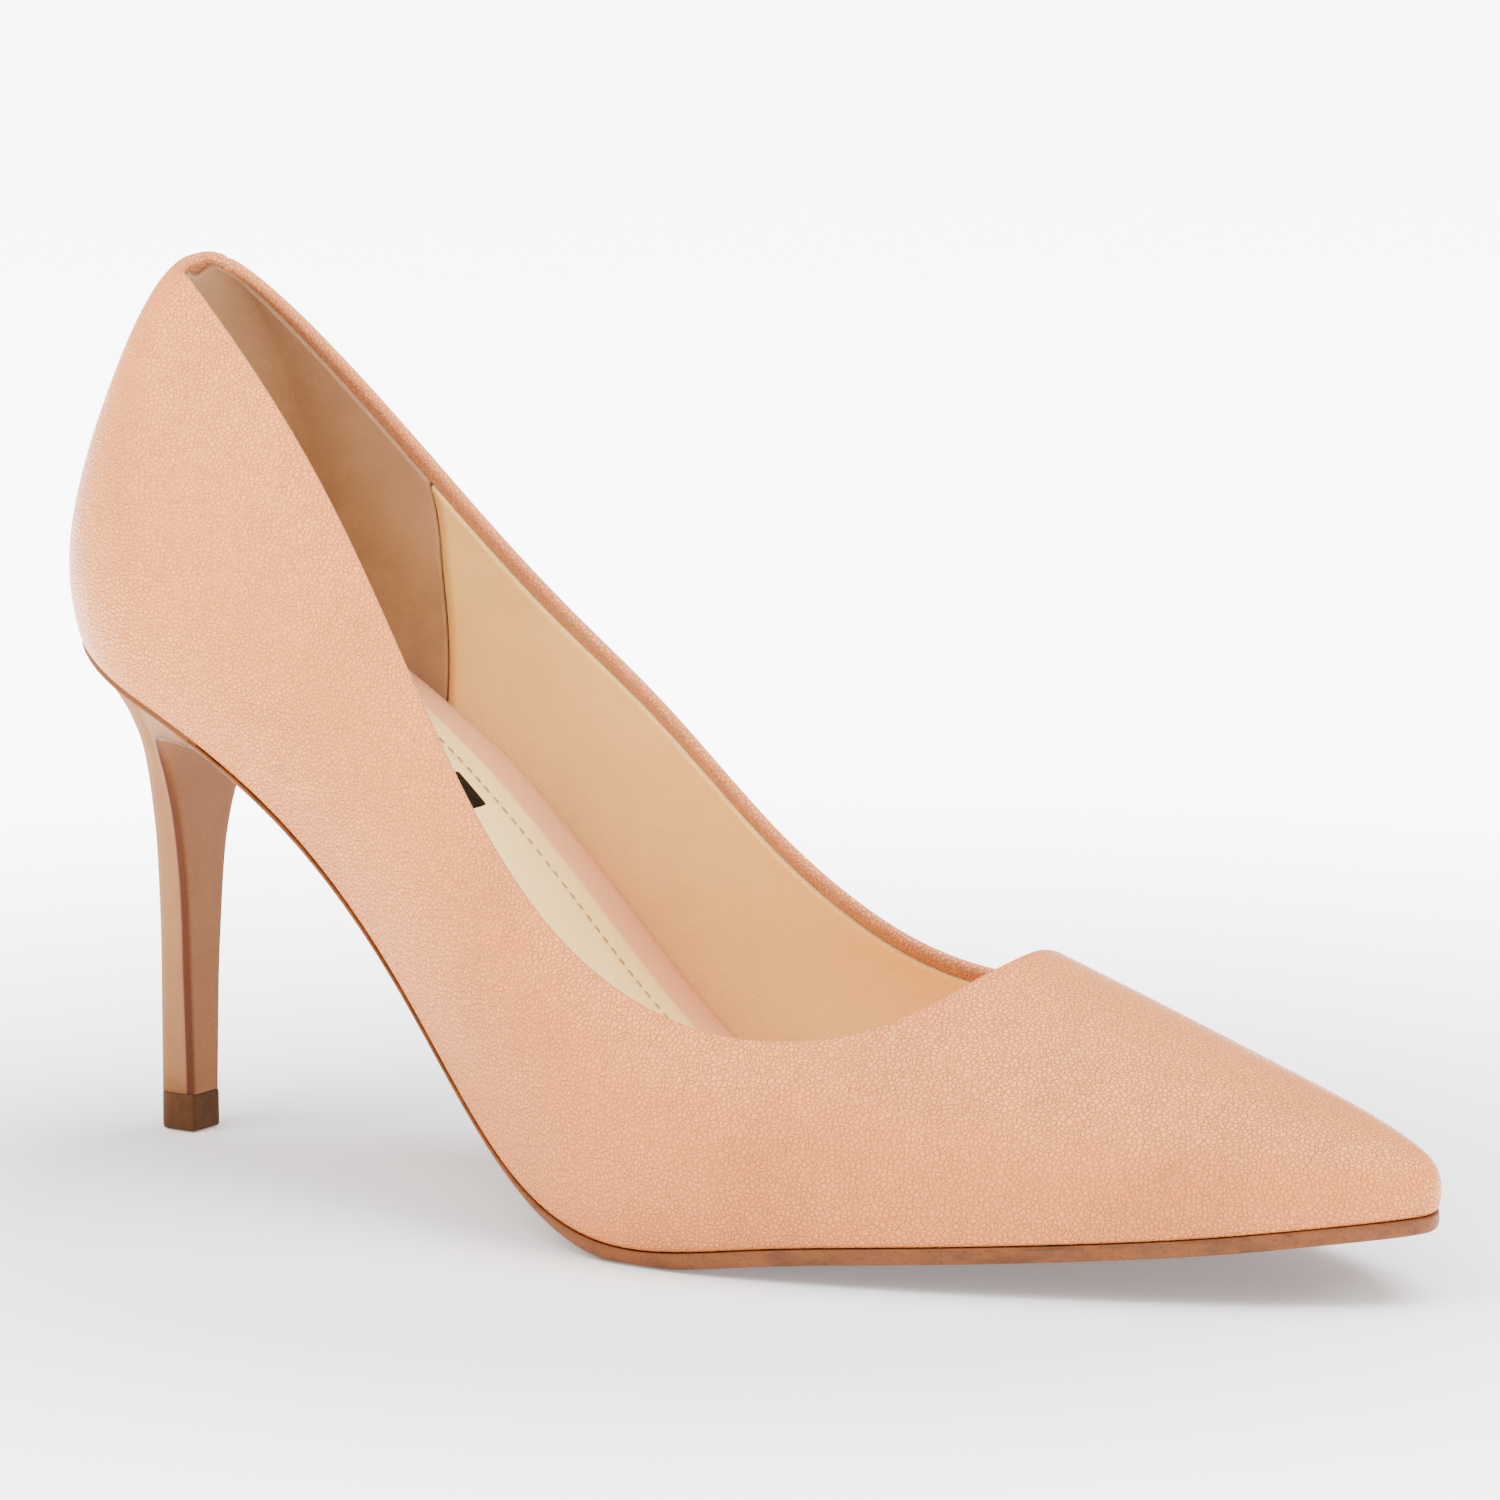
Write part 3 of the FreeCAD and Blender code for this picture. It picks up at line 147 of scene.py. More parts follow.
def plan(q, t, side):
    """The same point in the flat map, where topline and feather line are drawn."""
    q, t, side = np.broadcast_arrays(np.asarray(q, float), np.asarray(t, float), np.asarray(side, float))
    u = np.clip(q, 0, 1)
    rest = 1 - t
    turn = np.clip(q + 1, 0, 1) * np.pi / 2
    x = np.where(q < 0, FAN_X - REACH[0] * rest * np.cos(turn), station_x(u))
    y = side * rest * half_width(u, side) * np.where(q < 0, np.sin(turn), 1.0)
    return np.stack([x, y], -1)


def wall_at_plan(p):
    """From the flat map to the lasted surface."""
    x, y = p[..., 0], p[..., 1]
    side = np.where(y < 0, -1.0, 1.0)
    dx, dy = (FAN_X - x) / REACH[0], np.abs(y) / half_width(np.zeros_like(x), side)
    q_fan, t_fan = np.arctan2(dy, dx) / (np.pi / 2) - 1, 1 - np.hypot(dx, dy)
    q_wall = station_of(x)
    t_wall = 1 - np.abs(y) / np.maximum(half_width(q_wall, side), 1e-6)
    fan = x < FAN_X
    return wall(np.where(fan, q_fan, q_wall), np.clip(np.where(fan, t_fan, t_wall), 0, 1), side)


def level_at_height(q, height):
    """The t at which the wall reaches a height over the ground."""
    u = max(q, 0.0)
    crest = float(spline_value(CREST, u))
    goal = height - float(base_z(plan(q, 0.0, -1)[..., 0]))
    rises = [0, spline_value(RISE_LOW, u) * crest, spline_value(RISE_MID, u) * crest, crest, crest]
    low, high = 0.0, 1.0
    for _ in range(40):
        t = (low + high) / 2
        rise = quartic(rises, t)
        low, high = (t, high) if rise < goal else (low, t)
    return (low + high) / 2


def periodic_spline(values, knots):
    """Periodic cubic spline through values at knots; the last knot closes the loop."""
    y = np.vstack([values, values[:1]])
    n = len(values)
    h = np.diff(knots)
    a = np.zeros((n, n))
    b = np.zeros((n, y.shape[1]))
    for i in range(n):
        before, after = h[i - 1], h[i]
        a[i, (i - 1) % n] += before
        a[i, i] += 2 * (before + after)
        a[i, (i + 1) % n] += after
        b[i] = 6 * ((y[i + 1] - y[i]) / after - (y[i] - y[i - 1 if i else n - 1]) / before)
    m = np.linalg.solve(a, b)
    m = np.vstack([m, m[:1]])

    def value(s):
        s = np.asarray(s, float)
        k = np.clip(np.searchsorted(knots, s, side="right") - 1, 0, n - 1)
        w = h[k][..., None]
        c, d = (knots[k + 1] - s)[..., None], (s - knots[k])[..., None]
        return (m[k] * c ** 3 + m[k + 1] * d ** 3) / (6 * w) + (y[k] / w - m[k] * w / 6) * c \
            + (y[k + 1] / w - m[k + 1] * w / 6) * d
    return value


def top_knots(side):
    """Topline points of one side, from the back to the throat."""
    heights, corner = (TOP_LATERAL, TOP_CORNER_LATERAL) if side < 0 else (TOP_MEDIAL, TOP_CORNER_MEDIAL)
    pairs = [(-0.5, corner)] + [(float(station_of(x)), z) for x, z in zip(TOP_STATIONS, heights)]
    points = [plan(q, level_at_height(q, z), side) for q, z in pairs]
    points.append(plan(float(station_of(THROAT_X - THROAT_SIDE_BACK)), THROAT_LEVEL, side))
    return points


top_points = np.array([plan(-1.0, level_at_height(-1.0, TOP_BACK), -1)] + top_knots(-1)
                      + [np.array([THROAT_X, 0.0])] + top_knots(1)[::-1])
spacing = np.linalg.norm(np.roll(top_points, -1, 0) - top_points, axis=1)
steps = np.concatenate([[0], np.cumsum(spacing ** 0.7)])
top_curve = periodic_spline(top_points, steps)
throat_step = steps[len(top_points) // 2]


def length_table(curve, params):
    """Running length of a curve against its parameter."""
    p = curve(params)
    return np.concatenate([[0], np.cumsum(np.linalg.norm(np.diff(p, axis=0), axis=1))]), params


TOP_TABLE = {-1: length_table(top_curve, np.linspace(0, throat_step, 3000)),
             1: length_table(top_curve, np.linspace(steps[-1], throat_step, 3000))}
FEATHER_TABLE = {s: length_table(lambda q, s=s: plan(q, 0.0, s), np.linspace(-1, 1, 4000)) for s in (-1, 1)}
FEATHER_SHARE = [0.0, 0.085, 0.17, 0.27, 0.40, 0.57, 0.85, 1.0]
TOPLINE_SHARE = [0.0, 0.03, 0.085, 0.25, 0.44, 0.65, 0.92, 1.0]


def loop_pair(turn):
    """Feather and topline points of the flat map; turn 0 back, 1 toe, 2 back again."""
    turn = np.mod(np.asarray(turn, float), 2.0)
    feather, top = np.zeros(turn.shape + (2,)), np.zeros(turn.shape + (2,))
    for side in (-1, 1):
        pick = turn <= 1 if side < 0 else turn > 1
        share = turn[pick] if side < 0 else 2 - turn[pick]
        lengths, qs = FEATHER_TABLE[side]
        feather[pick] = plan(np.interp(share * lengths[-1], lengths, qs), 0.0, side)
        top_lengths, params = TOP_TABLE[side]
        top_share = smooth_map(FEATHER_SHARE, TOPLINE_SHARE, share)
        top[pick] = top_curve(np.interp(top_share * top_lengths[-1], top_lengths, params))
    return feather, top


def inward(turn):
    """Direction in the plan from the feather line towards the middle of the shoe."""
    t = loop_pair(turn + 0.002)[0] - loop_pair(turn - 0.002)[0]
    n = np.stack([-t[..., 1], t[..., 0]], -1)
    return n / np.linalg.norm(n, axis=-1, keepdims=True)


def turn_of(share):
    """Turn for a share 0..1 of the way round from the back seam; columns are denser at heel and toe."""
    turn = SEAM_TURN + 2.0 * np.asarray(share, float)
    return turn + 0.7 / math.pi * np.sin(math.pi * turn)


def unit(v):
    return v / np.maximum(np.linalg.norm(v, axis=-1, keepdims=True), 1e-9)


def shifted(p):
    """A point of the flat map moved to its real place in plan."""
    return np.stack([p[..., 0], p[..., 1] + shift_at(p[..., 0])], -1)


def over_base(xy, rise):
    return np.concatenate([xy, (base_z(xy[..., 0]) + rise)[..., None]], -1)


def eased(count):
    """0 to 1, close together at both ends."""
    return 0.5 - 0.5 * np.cos(np.linspace(0, np.pi, count))


class Skin:
    """Columns of the lasted surface, each measured in millimetres along its own line."""

    def __init__(self, shares):
        self.shares = np.asarray(shares, float)
        turn = turn_of(self.shares)
        self.feather, self.top = loop_pair(turn)
        self.inward = inward(turn)
        self.fractions = np.linspace(0, 1, 161) ** 2
        climb = (self.top - self.feather)[:, None]
        path = wall_at_plan(self.feather[:, None] + climb * self.fractions[None, :, None])
        self.lengths = np.concatenate([np.zeros((len(path), 1)),
                                       np.cumsum(np.linalg.norm(np.diff(path, axis=1), axis=2), 1)], 1)
        self.total = self.lengths[:, -1]

    def base(self, distance):
        """Points on the base, that far inside the feather line."""
        p = self.feather + self.inward * distance
        return np.stack([p[:, 0], p[:, 1] + shift_at(self.feather[:, 0]), base_z(p[:, 0])], -1)

    def at(self, distance):
        """distance: (columns, rows) measured up from the feather line."""
        f = np.stack([np.interp(d, l, self.fractions) for d, l in zip(distance, self.lengths)])
        return wall_at_plan(self.feather[:, None] + (self.top - self.feather)[:, None] * f[..., None])


def normals_of(grid, sign=1.0):
    """Unit normals of a grid of points."""
    along, up = np.gradient(grid, axis=0), np.gradient(grid, axis=1)
    return unit(np.cross(along, up)) * sign


# ------------------------------------------------------------------ mesh helpers
def grid_mesh(name, grid, wrap_rows=False, wrap_columns=False, attributes=None, material=None):
    """Mesh object of a grid of points in millimetres."""
    n, m = grid.shape[:2]
    rows = np.arange(m if wrap_rows else m - 1)
    columns = np.arange(n if wrap_columns else n - 1)
    i, j = np.meshgrid(columns, rows, indexing="ij")
    i2, j2 = (i + 1) % n, (j + 1) % m
    faces = np.stack([i * m + j, i2 * m + j, i2 * m + j2, i * m + j2], -1).reshape(-1, 4)
    points = grid.reshape(-1, 3)
    return quad_mesh(name, points, faces, attributes, material)


def quad_mesh(name, points, faces, attributes=None, material=None):
    a, b, c, d = (points[faces[:, k]] for k in range(4))
    volume = (np.einsum("ij,ij->i", a, np.cross(b, c)) + np.einsum("ij,ij->i", a, np.cross(c, d))).sum()
    if volume < 0:  # faces wind outwards
        faces = faces[:, ::-1]
    mesh = bpy.data.meshes.new(name)
    mesh.vertices.add(len(points))
    mesh.vertices.foreach_set("co", (points * MM).astype(np.float32).ravel())
    mesh.loops.add(faces.size)
    mesh.loops.foreach_set("vertex_index", faces.astype(np.int32).ravel())
    mesh.polygons.add(len(faces))
    mesh.polygons.foreach_set("loop_start", np.arange(0, faces.size, 4, dtype=np.int32))
    mesh.update(calc_edges=True)
    mesh.polygons.foreach_set("use_smooth", np.ones(len(faces), bool))
    for key, values in (attributes or {}).items():
        layer = mesh.attributes.new(key, "FLOAT", "POINT")
        layer.data.foreach_set("value", np.asarray(values, np.float32).ravel())
    obj = bpy.data.objects.new(name, mesh)
    bpy.context.scene.collection.objects.link(obj)
    if material is not None:
        mesh.materials.append(material)
    return obj


def with_ends(grid, edge):
    """Closes a strip of section loops: one more column at each end, drawn in to the section's middle."""
    middle = 0.5 * (grid + grid[:, ::-1])
    closed = np.concatenate([middle[:1], grid, middle[-1:]], 0)
    return closed, {"edge": np.concatenate([edge[:1], edge, edge[-1:]], 0)}


def sweep_arc(centre, first, second, radius, angles):
    """Points round centre: first*cos + second*sin, for arrays of centres."""
    c, s = np.cos(angles)[None, :, None], np.sin(angles)[None, :, None]
    return centre[:, None] + radius * (first[:, None] * c + second[:, None] * s)


# ------------------------------------------------------------------ materials
class Maker:
    """Small helper that lays out a procedural material."""

    def __init__(self, name):
        self.material = bpy.data.materials.new(name)
        self.material.use_nodes = True
        self.tree = self.material.node_tree
        self.tree.nodes.clear()
        self.out = self.tree.nodes.new("ShaderNodeOutputMaterial")
        self.shader = self.tree.nodes.new("ShaderNodeBsdfPrincipled")
        self.tree.links.new(self.shader.outputs[0], self.out.inputs[0])
        coords = self.tree.nodes.new("ShaderNodeTexCoord")
        mapping = self.tree.nodes.new("ShaderNodeMapping")
        mapping.inputs["Scale"].default_value = (1000, 1000, 1000)
        self.tree.links.new(coords.outputs["Object"], mapping.inputs["Vector"])
        self.vector = mapping.outputs[0]

    def link(self, source, target):
        self.tree.links.new(source, target)

    def stretched(self, scale):
        node = self.tree.nodes.new("ShaderNodeMapping")
        node.inputs["Scale"].default_value = scale
        self.link(self.vector, node.inputs["Vector"])
        return node.outputs[0]

    def noise(self, size, detail=3.0, rough=0.5, vector=None, warp=0.0):
        node = self.tree.nodes.new("ShaderNodeTexNoise")
        self.link(vector or self.vector, node.inputs["Vector"])
        node.inputs["Scale"].default_value = 1.0 / size
        node.inputs["Detail"].default_value = detail
        node.inputs["Roughness"].default_value = rough
        node.inputs["Distortion"].default_value = warp
        return node.outputs[0]

    def cells(self, size, kind="F1"):
        node = self.tree.nodes.new("ShaderNodeTexVoronoi")
        node.feature = kind
        self.link(self.vector, node.inputs["Vector"])
        node.inputs["Scale"].default_value = 1.0 / size
        return node.outputs["Distance"]

    def attribute(self, name):
        node = self.tree.nodes.new("ShaderNodeAttribute")
        node.attribute_name = name
        return node.outputs["Fac"]

    def ramp(self, value, stops):
        node = self.tree.nodes.new("ShaderNodeValToRGB")
        elements = node.color_ramp.elements
        while len(elements) > 1:
            elements.remove(elements[-1])
        for k, (position, colour) in enumerate(stops):
            element = elements[0] if k == 0 else elements.new(position)
            element.position = position
            if not isinstance(colour, tuple):
                colour = (colour, colour, colour)
            element.color = (*colour, 1.0)
        self.link(value, node.inputs[0])
        return node.outputs[0]

    def math(self, operation, a, b=None, clamp=False):
        node = self.tree.nodes.new("ShaderNodeMath")
        node.operation = operation
        node.use_clamp = clamp
        for k, value in enumerate((a, b)):
            if value is None:
                continue
            if isinstance(value, (int, float)):
                node.inputs[k].default_value = value
            else:
                self.link(value, node.inputs[k])
        return node.outputs[0]

    def weigh(self, first, share, second):
        """Weighted sum of two values; the weights add to one."""
        return self.math("ADD", self.math("MULTIPLY", first, share), self.math("MULTIPLY", second, 1 - share))

    def mix(self, factor, a, b):
        node = self.tree.nodes.new("ShaderNodeMix")
        node.data_type = "RGBA"
        for index, value in ((0, factor), (6, a), (7, b)):
            if isinstance(value, (int, float)):
                node.inputs[index].default_value = value
            elif isinstance(value, tuple):
                node.inputs[index].default_value = (*value, 1.0)
            else:
                self.link(value, node.inputs[index])
        return node.outputs[2]

    def colour(self, value):
        self.link(value, self.shader.inputs["Base Color"])

    def rough(self, value):
        self.link(value, self.shader.inputs["Roughness"])

    def bumps(self, *layers):
        """Each layer is (height, strength, distance in mm)."""
        previous = None
        for height, strength, distance in layers:
            node = self.tree.nodes.new("ShaderNodeBump")
            node.inputs["Strength"].default_value = strength
            node.inputs["Distance"].default_value = distance * MM
            self.link(height, node.inputs["Height"])
            if previous is not None:
                self.link(previous, node.inputs["Normal"])
            previous = node.outputs[0]
        self.link(previous, self.shader.inputs["Normal"])

    def set(self, **values):
        for name, value in values.items():
            self.shader.inputs[name.replace("_", " ")].default_value = value


def shades(mid, up=1.05, down=0.86):
    """Light, middle and dark variants of one linear colour."""
    return tuple(min(v * up, 0.98) for v in mid), mid, tuple(v * down for v in mid)


def smooth_leather(name, light, mid, dark, edge=None, grain=0.85, depth=0.05, rough=(0.36, 0.50), speck=None,
                   shine=0.42):
    """Lightly grained leather: broad tone shifts, pebbles, fine creases, pores and a few rubbed spots."""
    m = Maker(name)
    broad = m.noise(38.0, 3.0, 0.55)
    fine = m.noise(6.0, 4.0, 0.6)
    tone = m.ramp(m.weigh(broad, 0.7, fine), [(0.33, dark), (0.5, mid), (0.68, light)])
    cell = m.cells(grain, "DISTANCE_TO_EDGE")
    valley = m.ramp(cell, [(0.0, 0.0), (0.12, 0.8), (0.4, 1.0)])
    tone = m.mix(m.math("MULTIPLY", m.math("SUBTRACT", 1.0, valley), 0.40), tone, dark)
    if speck is not None:
        dots = m.ramp(m.cells(17.0), [(0.0, 1.0), (0.016, 1.0), (0.024, 0.0)])
        tone = m.mix(m.math("MULTIPLY", dots, 0.55), tone, speck)
        rub = m.ramp(m.noise(9.0, 5.0, 0.62, m.stretched((0.35, 1.0, 1.0))), [(0.66, 0.0), (0.76, 1.0)])
        tone = m.mix(m.math("MULTIPLY", rub, 0.18), tone, speck)
    # towards the edge colour where the edge attribute is set: seams, cut edges and, on some pieces, painted
    # shade in crevices
    if edge is not None:
        tone = m.mix(m.attribute("edge"), tone, edge)
    m.colour(tone)
    m.rough(m.ramp(m.weigh(fine, 0.6, valley), [(0.3, rough[1]), (0.75, rough[0])]))
    crease = m.noise(2.3, 3.0, 0.6, m.stretched((0.28, 1.0, 1.0)), 0.8)
    m.bumps((m.noise(11.0, 2.0, 0.5), 0.35, 0.30), (crease, 0.35, depth * 1.5), (valley, 1.0, depth),
            (m.noise(0.30, 2.0, 0.6), 0.40, depth * 0.5))
    m.set(IOR=1.46, Specular_IOR_Level=shine, Coat_Weight=0.1 * shine, Coat_Roughness=0.35)
    m.set(Subsurface_Weight=0.05)
    m.shader.inputs["Subsurface Radius"].default_value = (0.9, 0.45, 0.3)
    m.shader.inputs["Subsurface Scale"].default_value = 0.0012
    return m.material


def suede(name, light, mid, dark):
    """Short brushed nap with broad patches."""
    m = Maker(name)
    nap = m.noise(0.45, 4.0, 0.7)
    patch = m.noise(16.0, 4.0, 0.6, None, 0.6)
    tone = m.ramp(m.weigh(patch, 0.65, nap), [(0.32, dark), (0.5, mid), (0.7, light)])
    tone = m.mix(m.attribute("edge"), tone, light)
    m.colour(tone)
    m.rough(m.ramp(patch, [(0.3, 0.98), (0.7, 0.86)]))
    m.bumps((patch, 0.3, 0.25), (nap, 0.8, 0.12))
    m.set(Specular_IOR_Level=0.12, Sheen_Weight=0.10, Sheen_Roughness=0.5)
    return m.material


def sole_leather(name, light, mid, dark):
    """Leather cut and burnished: streaked fibres, dark specks and scuffs."""
    m = Maker(name)
    streak = m.noise(2.2, 5.0, 0.65, m.stretched((0.16, 1.0, 1.0)), 0.4)
    patch = m.noise(14.0, 3.0, 0.55)
    tone = m.ramp(m.weigh(streak, 0.6, patch), [(0.36, dark), (0.5, mid), (0.66, light)])
    speckle = m.ramp(m.noise(0.55, 3.0, 0.7), [(0.57, 0.0), (0.64, 1.0)])
    tone = m.mix(m.math("MULTIPLY", speckle, 0.75), tone, dark)
    # painted shade: darker where the edge attribute is set, at the top of the sole's edge under the upper
    tone = m.mix(m.attribute("edge"), tone, dark)
    m.colour(tone)
    m.rough(m.ramp(streak, [(0.3, 0.40), (0.7, 0.58)]))
    m.bumps((streak, 0.5, 0.10), (m.noise(0.5, 3.0, 0.6), 0.5, 0.06), (patch, 0.25, 0.20))
    m.set(Specular_IOR_Level=0.25, Coat_Weight=0.05, Coat_Roughness=0.4)
    return m.material


def tip_plastic(name, light, mid, dark):
    """Matt moulded plastic with upright scratches."""
    m = Maker(name)
    patch = m.noise(2.5, 4.0, 0.6)
    scratch = m.noise(0.8, 4.0, 0.7, m.stretched((1.0, 1.0, 0.2)), 0.3)
    tone = m.ramp(m.weigh(patch, 0.6, scratch), [(0.35, dark), (0.5, mid), (0.68, light)])
    m.colour(tone)
    m.rough(m.ramp(scratch, [(0.3, 0.52), (0.7, 0.70)]))
    m.bumps((scratch, 0.5, 0.06), (patch, 0.4, 0.10))
    m.set(Specular_IOR_Level=0.14)
    return m.material


def thread_material(name, light, dark):
    """Twisted thread."""
    m = Maker(name)
    twist = m.noise(0.35, 3.0, 0.6, m.stretched((1.0, 1.0, 2.0)))
    m.colour(m.ramp(twist, [(0.35, dark), (0.65, light)]))
    m.rough(m.ramp(twist, [(0.3, 0.65), (0.7, 0.85)]))
    m.bumps((twist, 0.7, 0.08))
    m.set(Specular_IOR_Level=0.3)
    return m.material


def steel_material(name):
    """Brushed steel."""
    m = Maker(name)
    brushed = m.noise(0.4, 4.0, 0.6, m.stretched((0.1, 1.0, 1.0)))
    m.colour(m.ramp(brushed, [(0.3, (0.42, 0.42, 0.43)), (0.7, (0.60, 0.60, 0.61))]))
    m.rough(m.ramp(brushed, [(0.3, 0.28), (0.7, 0.45)]))
    m.bumps((brushed, 0.3, 0.03))
    m.set(Metallic=1.0)
    return m.material


def board_material(name, light, mid, dark):
    """Pressed fibre or cork."""
    m = Maker(name)
    fibre = m.noise(0.9, 5.0, 0.7, m.stretched((0.5, 1.0, 1.0)))
    patch = m.noise(9.0, 3.0, 0.5)
    m.colour(m.ramp(m.weigh(fibre, 0.6, patch), [(0.35, dark), (0.5, mid), (0.68, light)]))
    m.rough(m.ramp(fibre, [(0.3, 0.80), (0.7, 0.95)]))
    m.bumps((fibre, 0.6, 0.12))
    m.set(Specular_IOR_Level=0.2)
    return m.material


# edge colours: dark seams, the linings' light cut edges, and painted shade in the crevices of the upper, sock,
# panel and heel cover
NUDE = smooth_leather("nude_leather", *shades((0.83, 0.262, 0.054), 1.06, 0.84), edge=(0.34, 0.175, 0.11),
                      grain=0.75, depth=0.20, rough=(0.32, 0.46), speck=(0.55, 0.16, 0.05))
LINING = smooth_leather("lining_leather", *shades((0.87, 0.53, 0.185), 1.05, 0.90), edge=(0.93, 0.60, 0.20),
                        grain=1.1, depth=0.04, rough=(0.48, 0.62))
GRIP = suede("heel_grip_suede", *shades((0.36, 0.205, 0.105), 1.14, 0.82))
SOCK = smooth_leather("sock_pink", *shades((0.90, 0.46, 0.25), 1.03, 0.92), edge=(0.62, 0.26, 0.11),
                      grain=1.0, depth=0.04, rough=(0.44, 0.58))
CREAM = smooth_leather("sock_cream", *shades((1.0, 0.755, 0.30), 1.0, 0.96), edge=(0.60, 0.33, 0.11),
                       grain=1.2, depth=0.05, rough=(0.44, 0.6))
SOLE = sole_leather("sole_leather", *shades((0.185, 0.056, 0.012), 1.25, 0.50))
BREAST = smooth_leather("breast_leather", *shades((0.30, 0.128, 0.046), 1.06, 0.88),
                        edge=(0.09, 0.022, 0.008), grain=0.9, depth=0.03, rough=(0.56, 0.70),
                        speck=(0.20, 0.075, 0.02), shine=0.16)
COVER = smooth_leather("cover_leather", *shades((0.33, 0.150, 0.064), 1.05, 0.88), edge=(0.17, 0.060, 0.022),
                       grain=0.75, depth=0.04, rough=(0.62, 0.76), speck=(0.22, 0.09, 0.035), shine=0.06)
TIP = tip_plastic("tip_rubber", *shades((0.080, 0.030, 0.008), 1.25, 0.75))
THREAD = thread_material("upper_thread", (0.62, 0.22, 0.085), (0.42, 0.14, 0.055))
SOCK_THREAD = thread_material("sock_thread", (0.62, 0.42, 0.18), (0.42, 0.26, 0.11))
STEEL = steel_material("steel")
BOARD = board_material("fibre_board", *shades((0.40, 0.27, 0.15), 1.2, 0.75))
CORK = board_material("cork", *shades((0.34, 0.18, 0.08), 1.3, 0.6))
PLASTIC = tip_plastic("heel_plastic", *shades((0.30, 0.12, 0.045), 1.1, 0.85))
LABEL = smooth_leather("label_foil", *shades((0.0045, 0.0035, 0.003), 1.3, 0.7), grain=0.9, depth=0.02,
                       rough=(0.6, 0.75), shine=0.10)

# ------------------------------------------------------------------ upper
UPPER_T, LINING_T, STIFF_T, BACKED = 1.1, 0.7, 1.0, 1.5
FOLD_R = 0.95
BAND = 2.3
COUNTER_END, PUFF_BACK = 46.0, 172.0


def stiffening(points, share):
    x = points[..., 0]
    heel = (1 - smooth_step(COUNTER_END - 14, COUNTER_END, x)) * (1 - smooth_step(0.5, 0.8, share))
    return STIFF_T * np.maximum(heel, smooth_step(PUFF_BACK, PUFF_BACK + 14, x))


COLUMNS = 860
seam_gap = 0.10 / LOOP_LENGTH
skin = Skin(np.linspace(seam_gap, 1 - seam_gap, COLUMNS))

# topline frame: tangent, column direction, slant between them
edge_grid = skin.at(np.stack([skin.total - d for d in (1.2, 0.8, 0.4, 0.0)], 1))
tangent = unit(np.gradient(edge_grid[:, -1], axis=0))
column_up = unit(edge_grid[:, -1] - edge_grid[:, 0])
across_edge = unit(column_up - tangent * np.sum(column_up * tangent, -1, keepdims=True))
slant = np.clip(np.sum(column_up * across_edge, -1), 0.45, 1.0)
QUARTER = COLUMNS // 4  # a column half way along the outer side, where inwards is +y
IN_SIGN = 1.0 if np.mean(normals_of(edge_grid)[QUARTER, :, 1]) >= 0 else -1.0

WALL_ROWS = 150
wall_end = skin.total - FOLD_R / slant
wall_rows = CORNER_LEG + (wall_end - CORNER_LEG)[:, None] * np.linspace(0, 1, WALL_ROWS)[None]
outer_wall = skin.at(wall_rows)
a = np.linspace(0, 1, 9)[1:-1][None, :, None]
corner_start, corner_mid = skin.base(CORNER_LEG)[:, None], skin.base(0.0)[:, None]
corner = corner_start * (1 - a) ** 2 + corner_mid * 2 * a * (1 - a) + outer_wall[:, :1] * a ** 2
margin = np.stack([skin.base(d) for d in (3.9, 2.6, CORNER_LEG)], 1)
outer = np.concatenate([margin, corner, outer_wall], 1)
inner_dir = normals_of(outer, IN_SIGN)

# small real-life unevenness of the lasted leather
phase = turn_of(skin.shares)[:, None] * LOOP_LENGTH / 2
height = np.concatenate([np.zeros((COLUMNS, 10)), wall_rows], 1)
ripple = 0.05 * np.sin(phase / 7.3 + 0.6 * np.sin(height / 9.0)) * np.exp(-((height - 5.0) / 5.0) ** 2)
ripple += 0.06 * np.sin(phase / 19.0 + height / 13.0) * np.sin(height / 17.0 + 1.0)
seam_run = np.minimum(skin.shares, 1 - skin.shares)[:, None] * LOOP_LENGTH
seam_dip = 0.32 * np.exp(-(seam_run / 0.55) ** 2)
outer = outer + inner_dir * (ripple * smooth_step(0.0, 3.0, height) + seam_dip)[..., None]


def normals_facing(grid):
    """Normals of a grid of the upper's columns, pointing into the shoe."""
    normals = normals_of(grid, -IN_SIGN)
    return normals if np.sum(normals[QUARTER, 2] * inner_dir[QUARTER, -1]) >= 0 else -normals


# leather rolled over at the topline, then a band lying against the inside and the hidden inner face
angles = np.linspace(0, np.pi, 13)[1:]
fold_centre = outer[:, -1] + inner_dir[:, -1] * FOLD_R
out_dir = -unit(inner_dir[:, -1])
roll = sweep_arc(fold_centre, out_dir, across_edge, FOLD_R, angles)
band_rows = np.linspace(0.15, 1.0, 8)
band_at = wall_end[:, None] - (BAND / slant)[:, None] * band_rows[None]
band_skin = skin.at(band_at)
band_in = normals_facing(band_skin)
thickness = 2 * FOLD_R * (1 - 0.10 * band_rows)
band = band_skin + band_in * thickness[None, :, None]
lip_at = wall_end[:, None] - (BAND / slant)[:, None] * np.array([[1.04, 1.09, 1.11]])
lip = skin.at(lip_at) + band_in[:, -1:] * np.array([1.58, 1.42, 1.2])[None, :, None]
deep_rows = np.linspace(1, 0, 40)[None] * (lip_at[:, -1:] - 4.0) + 4.0 - 0.4
deep = skin.at(deep_rows)
deep = deep + normals_facing(deep) * UPPER_T
under = np.stack([skin.base(d) + np.array([0, 0, UPPER_T]) for d in (3.4, 3.9)], 1)
section = np.concatenate([outer, roll, band, lip, deep, under], 1)
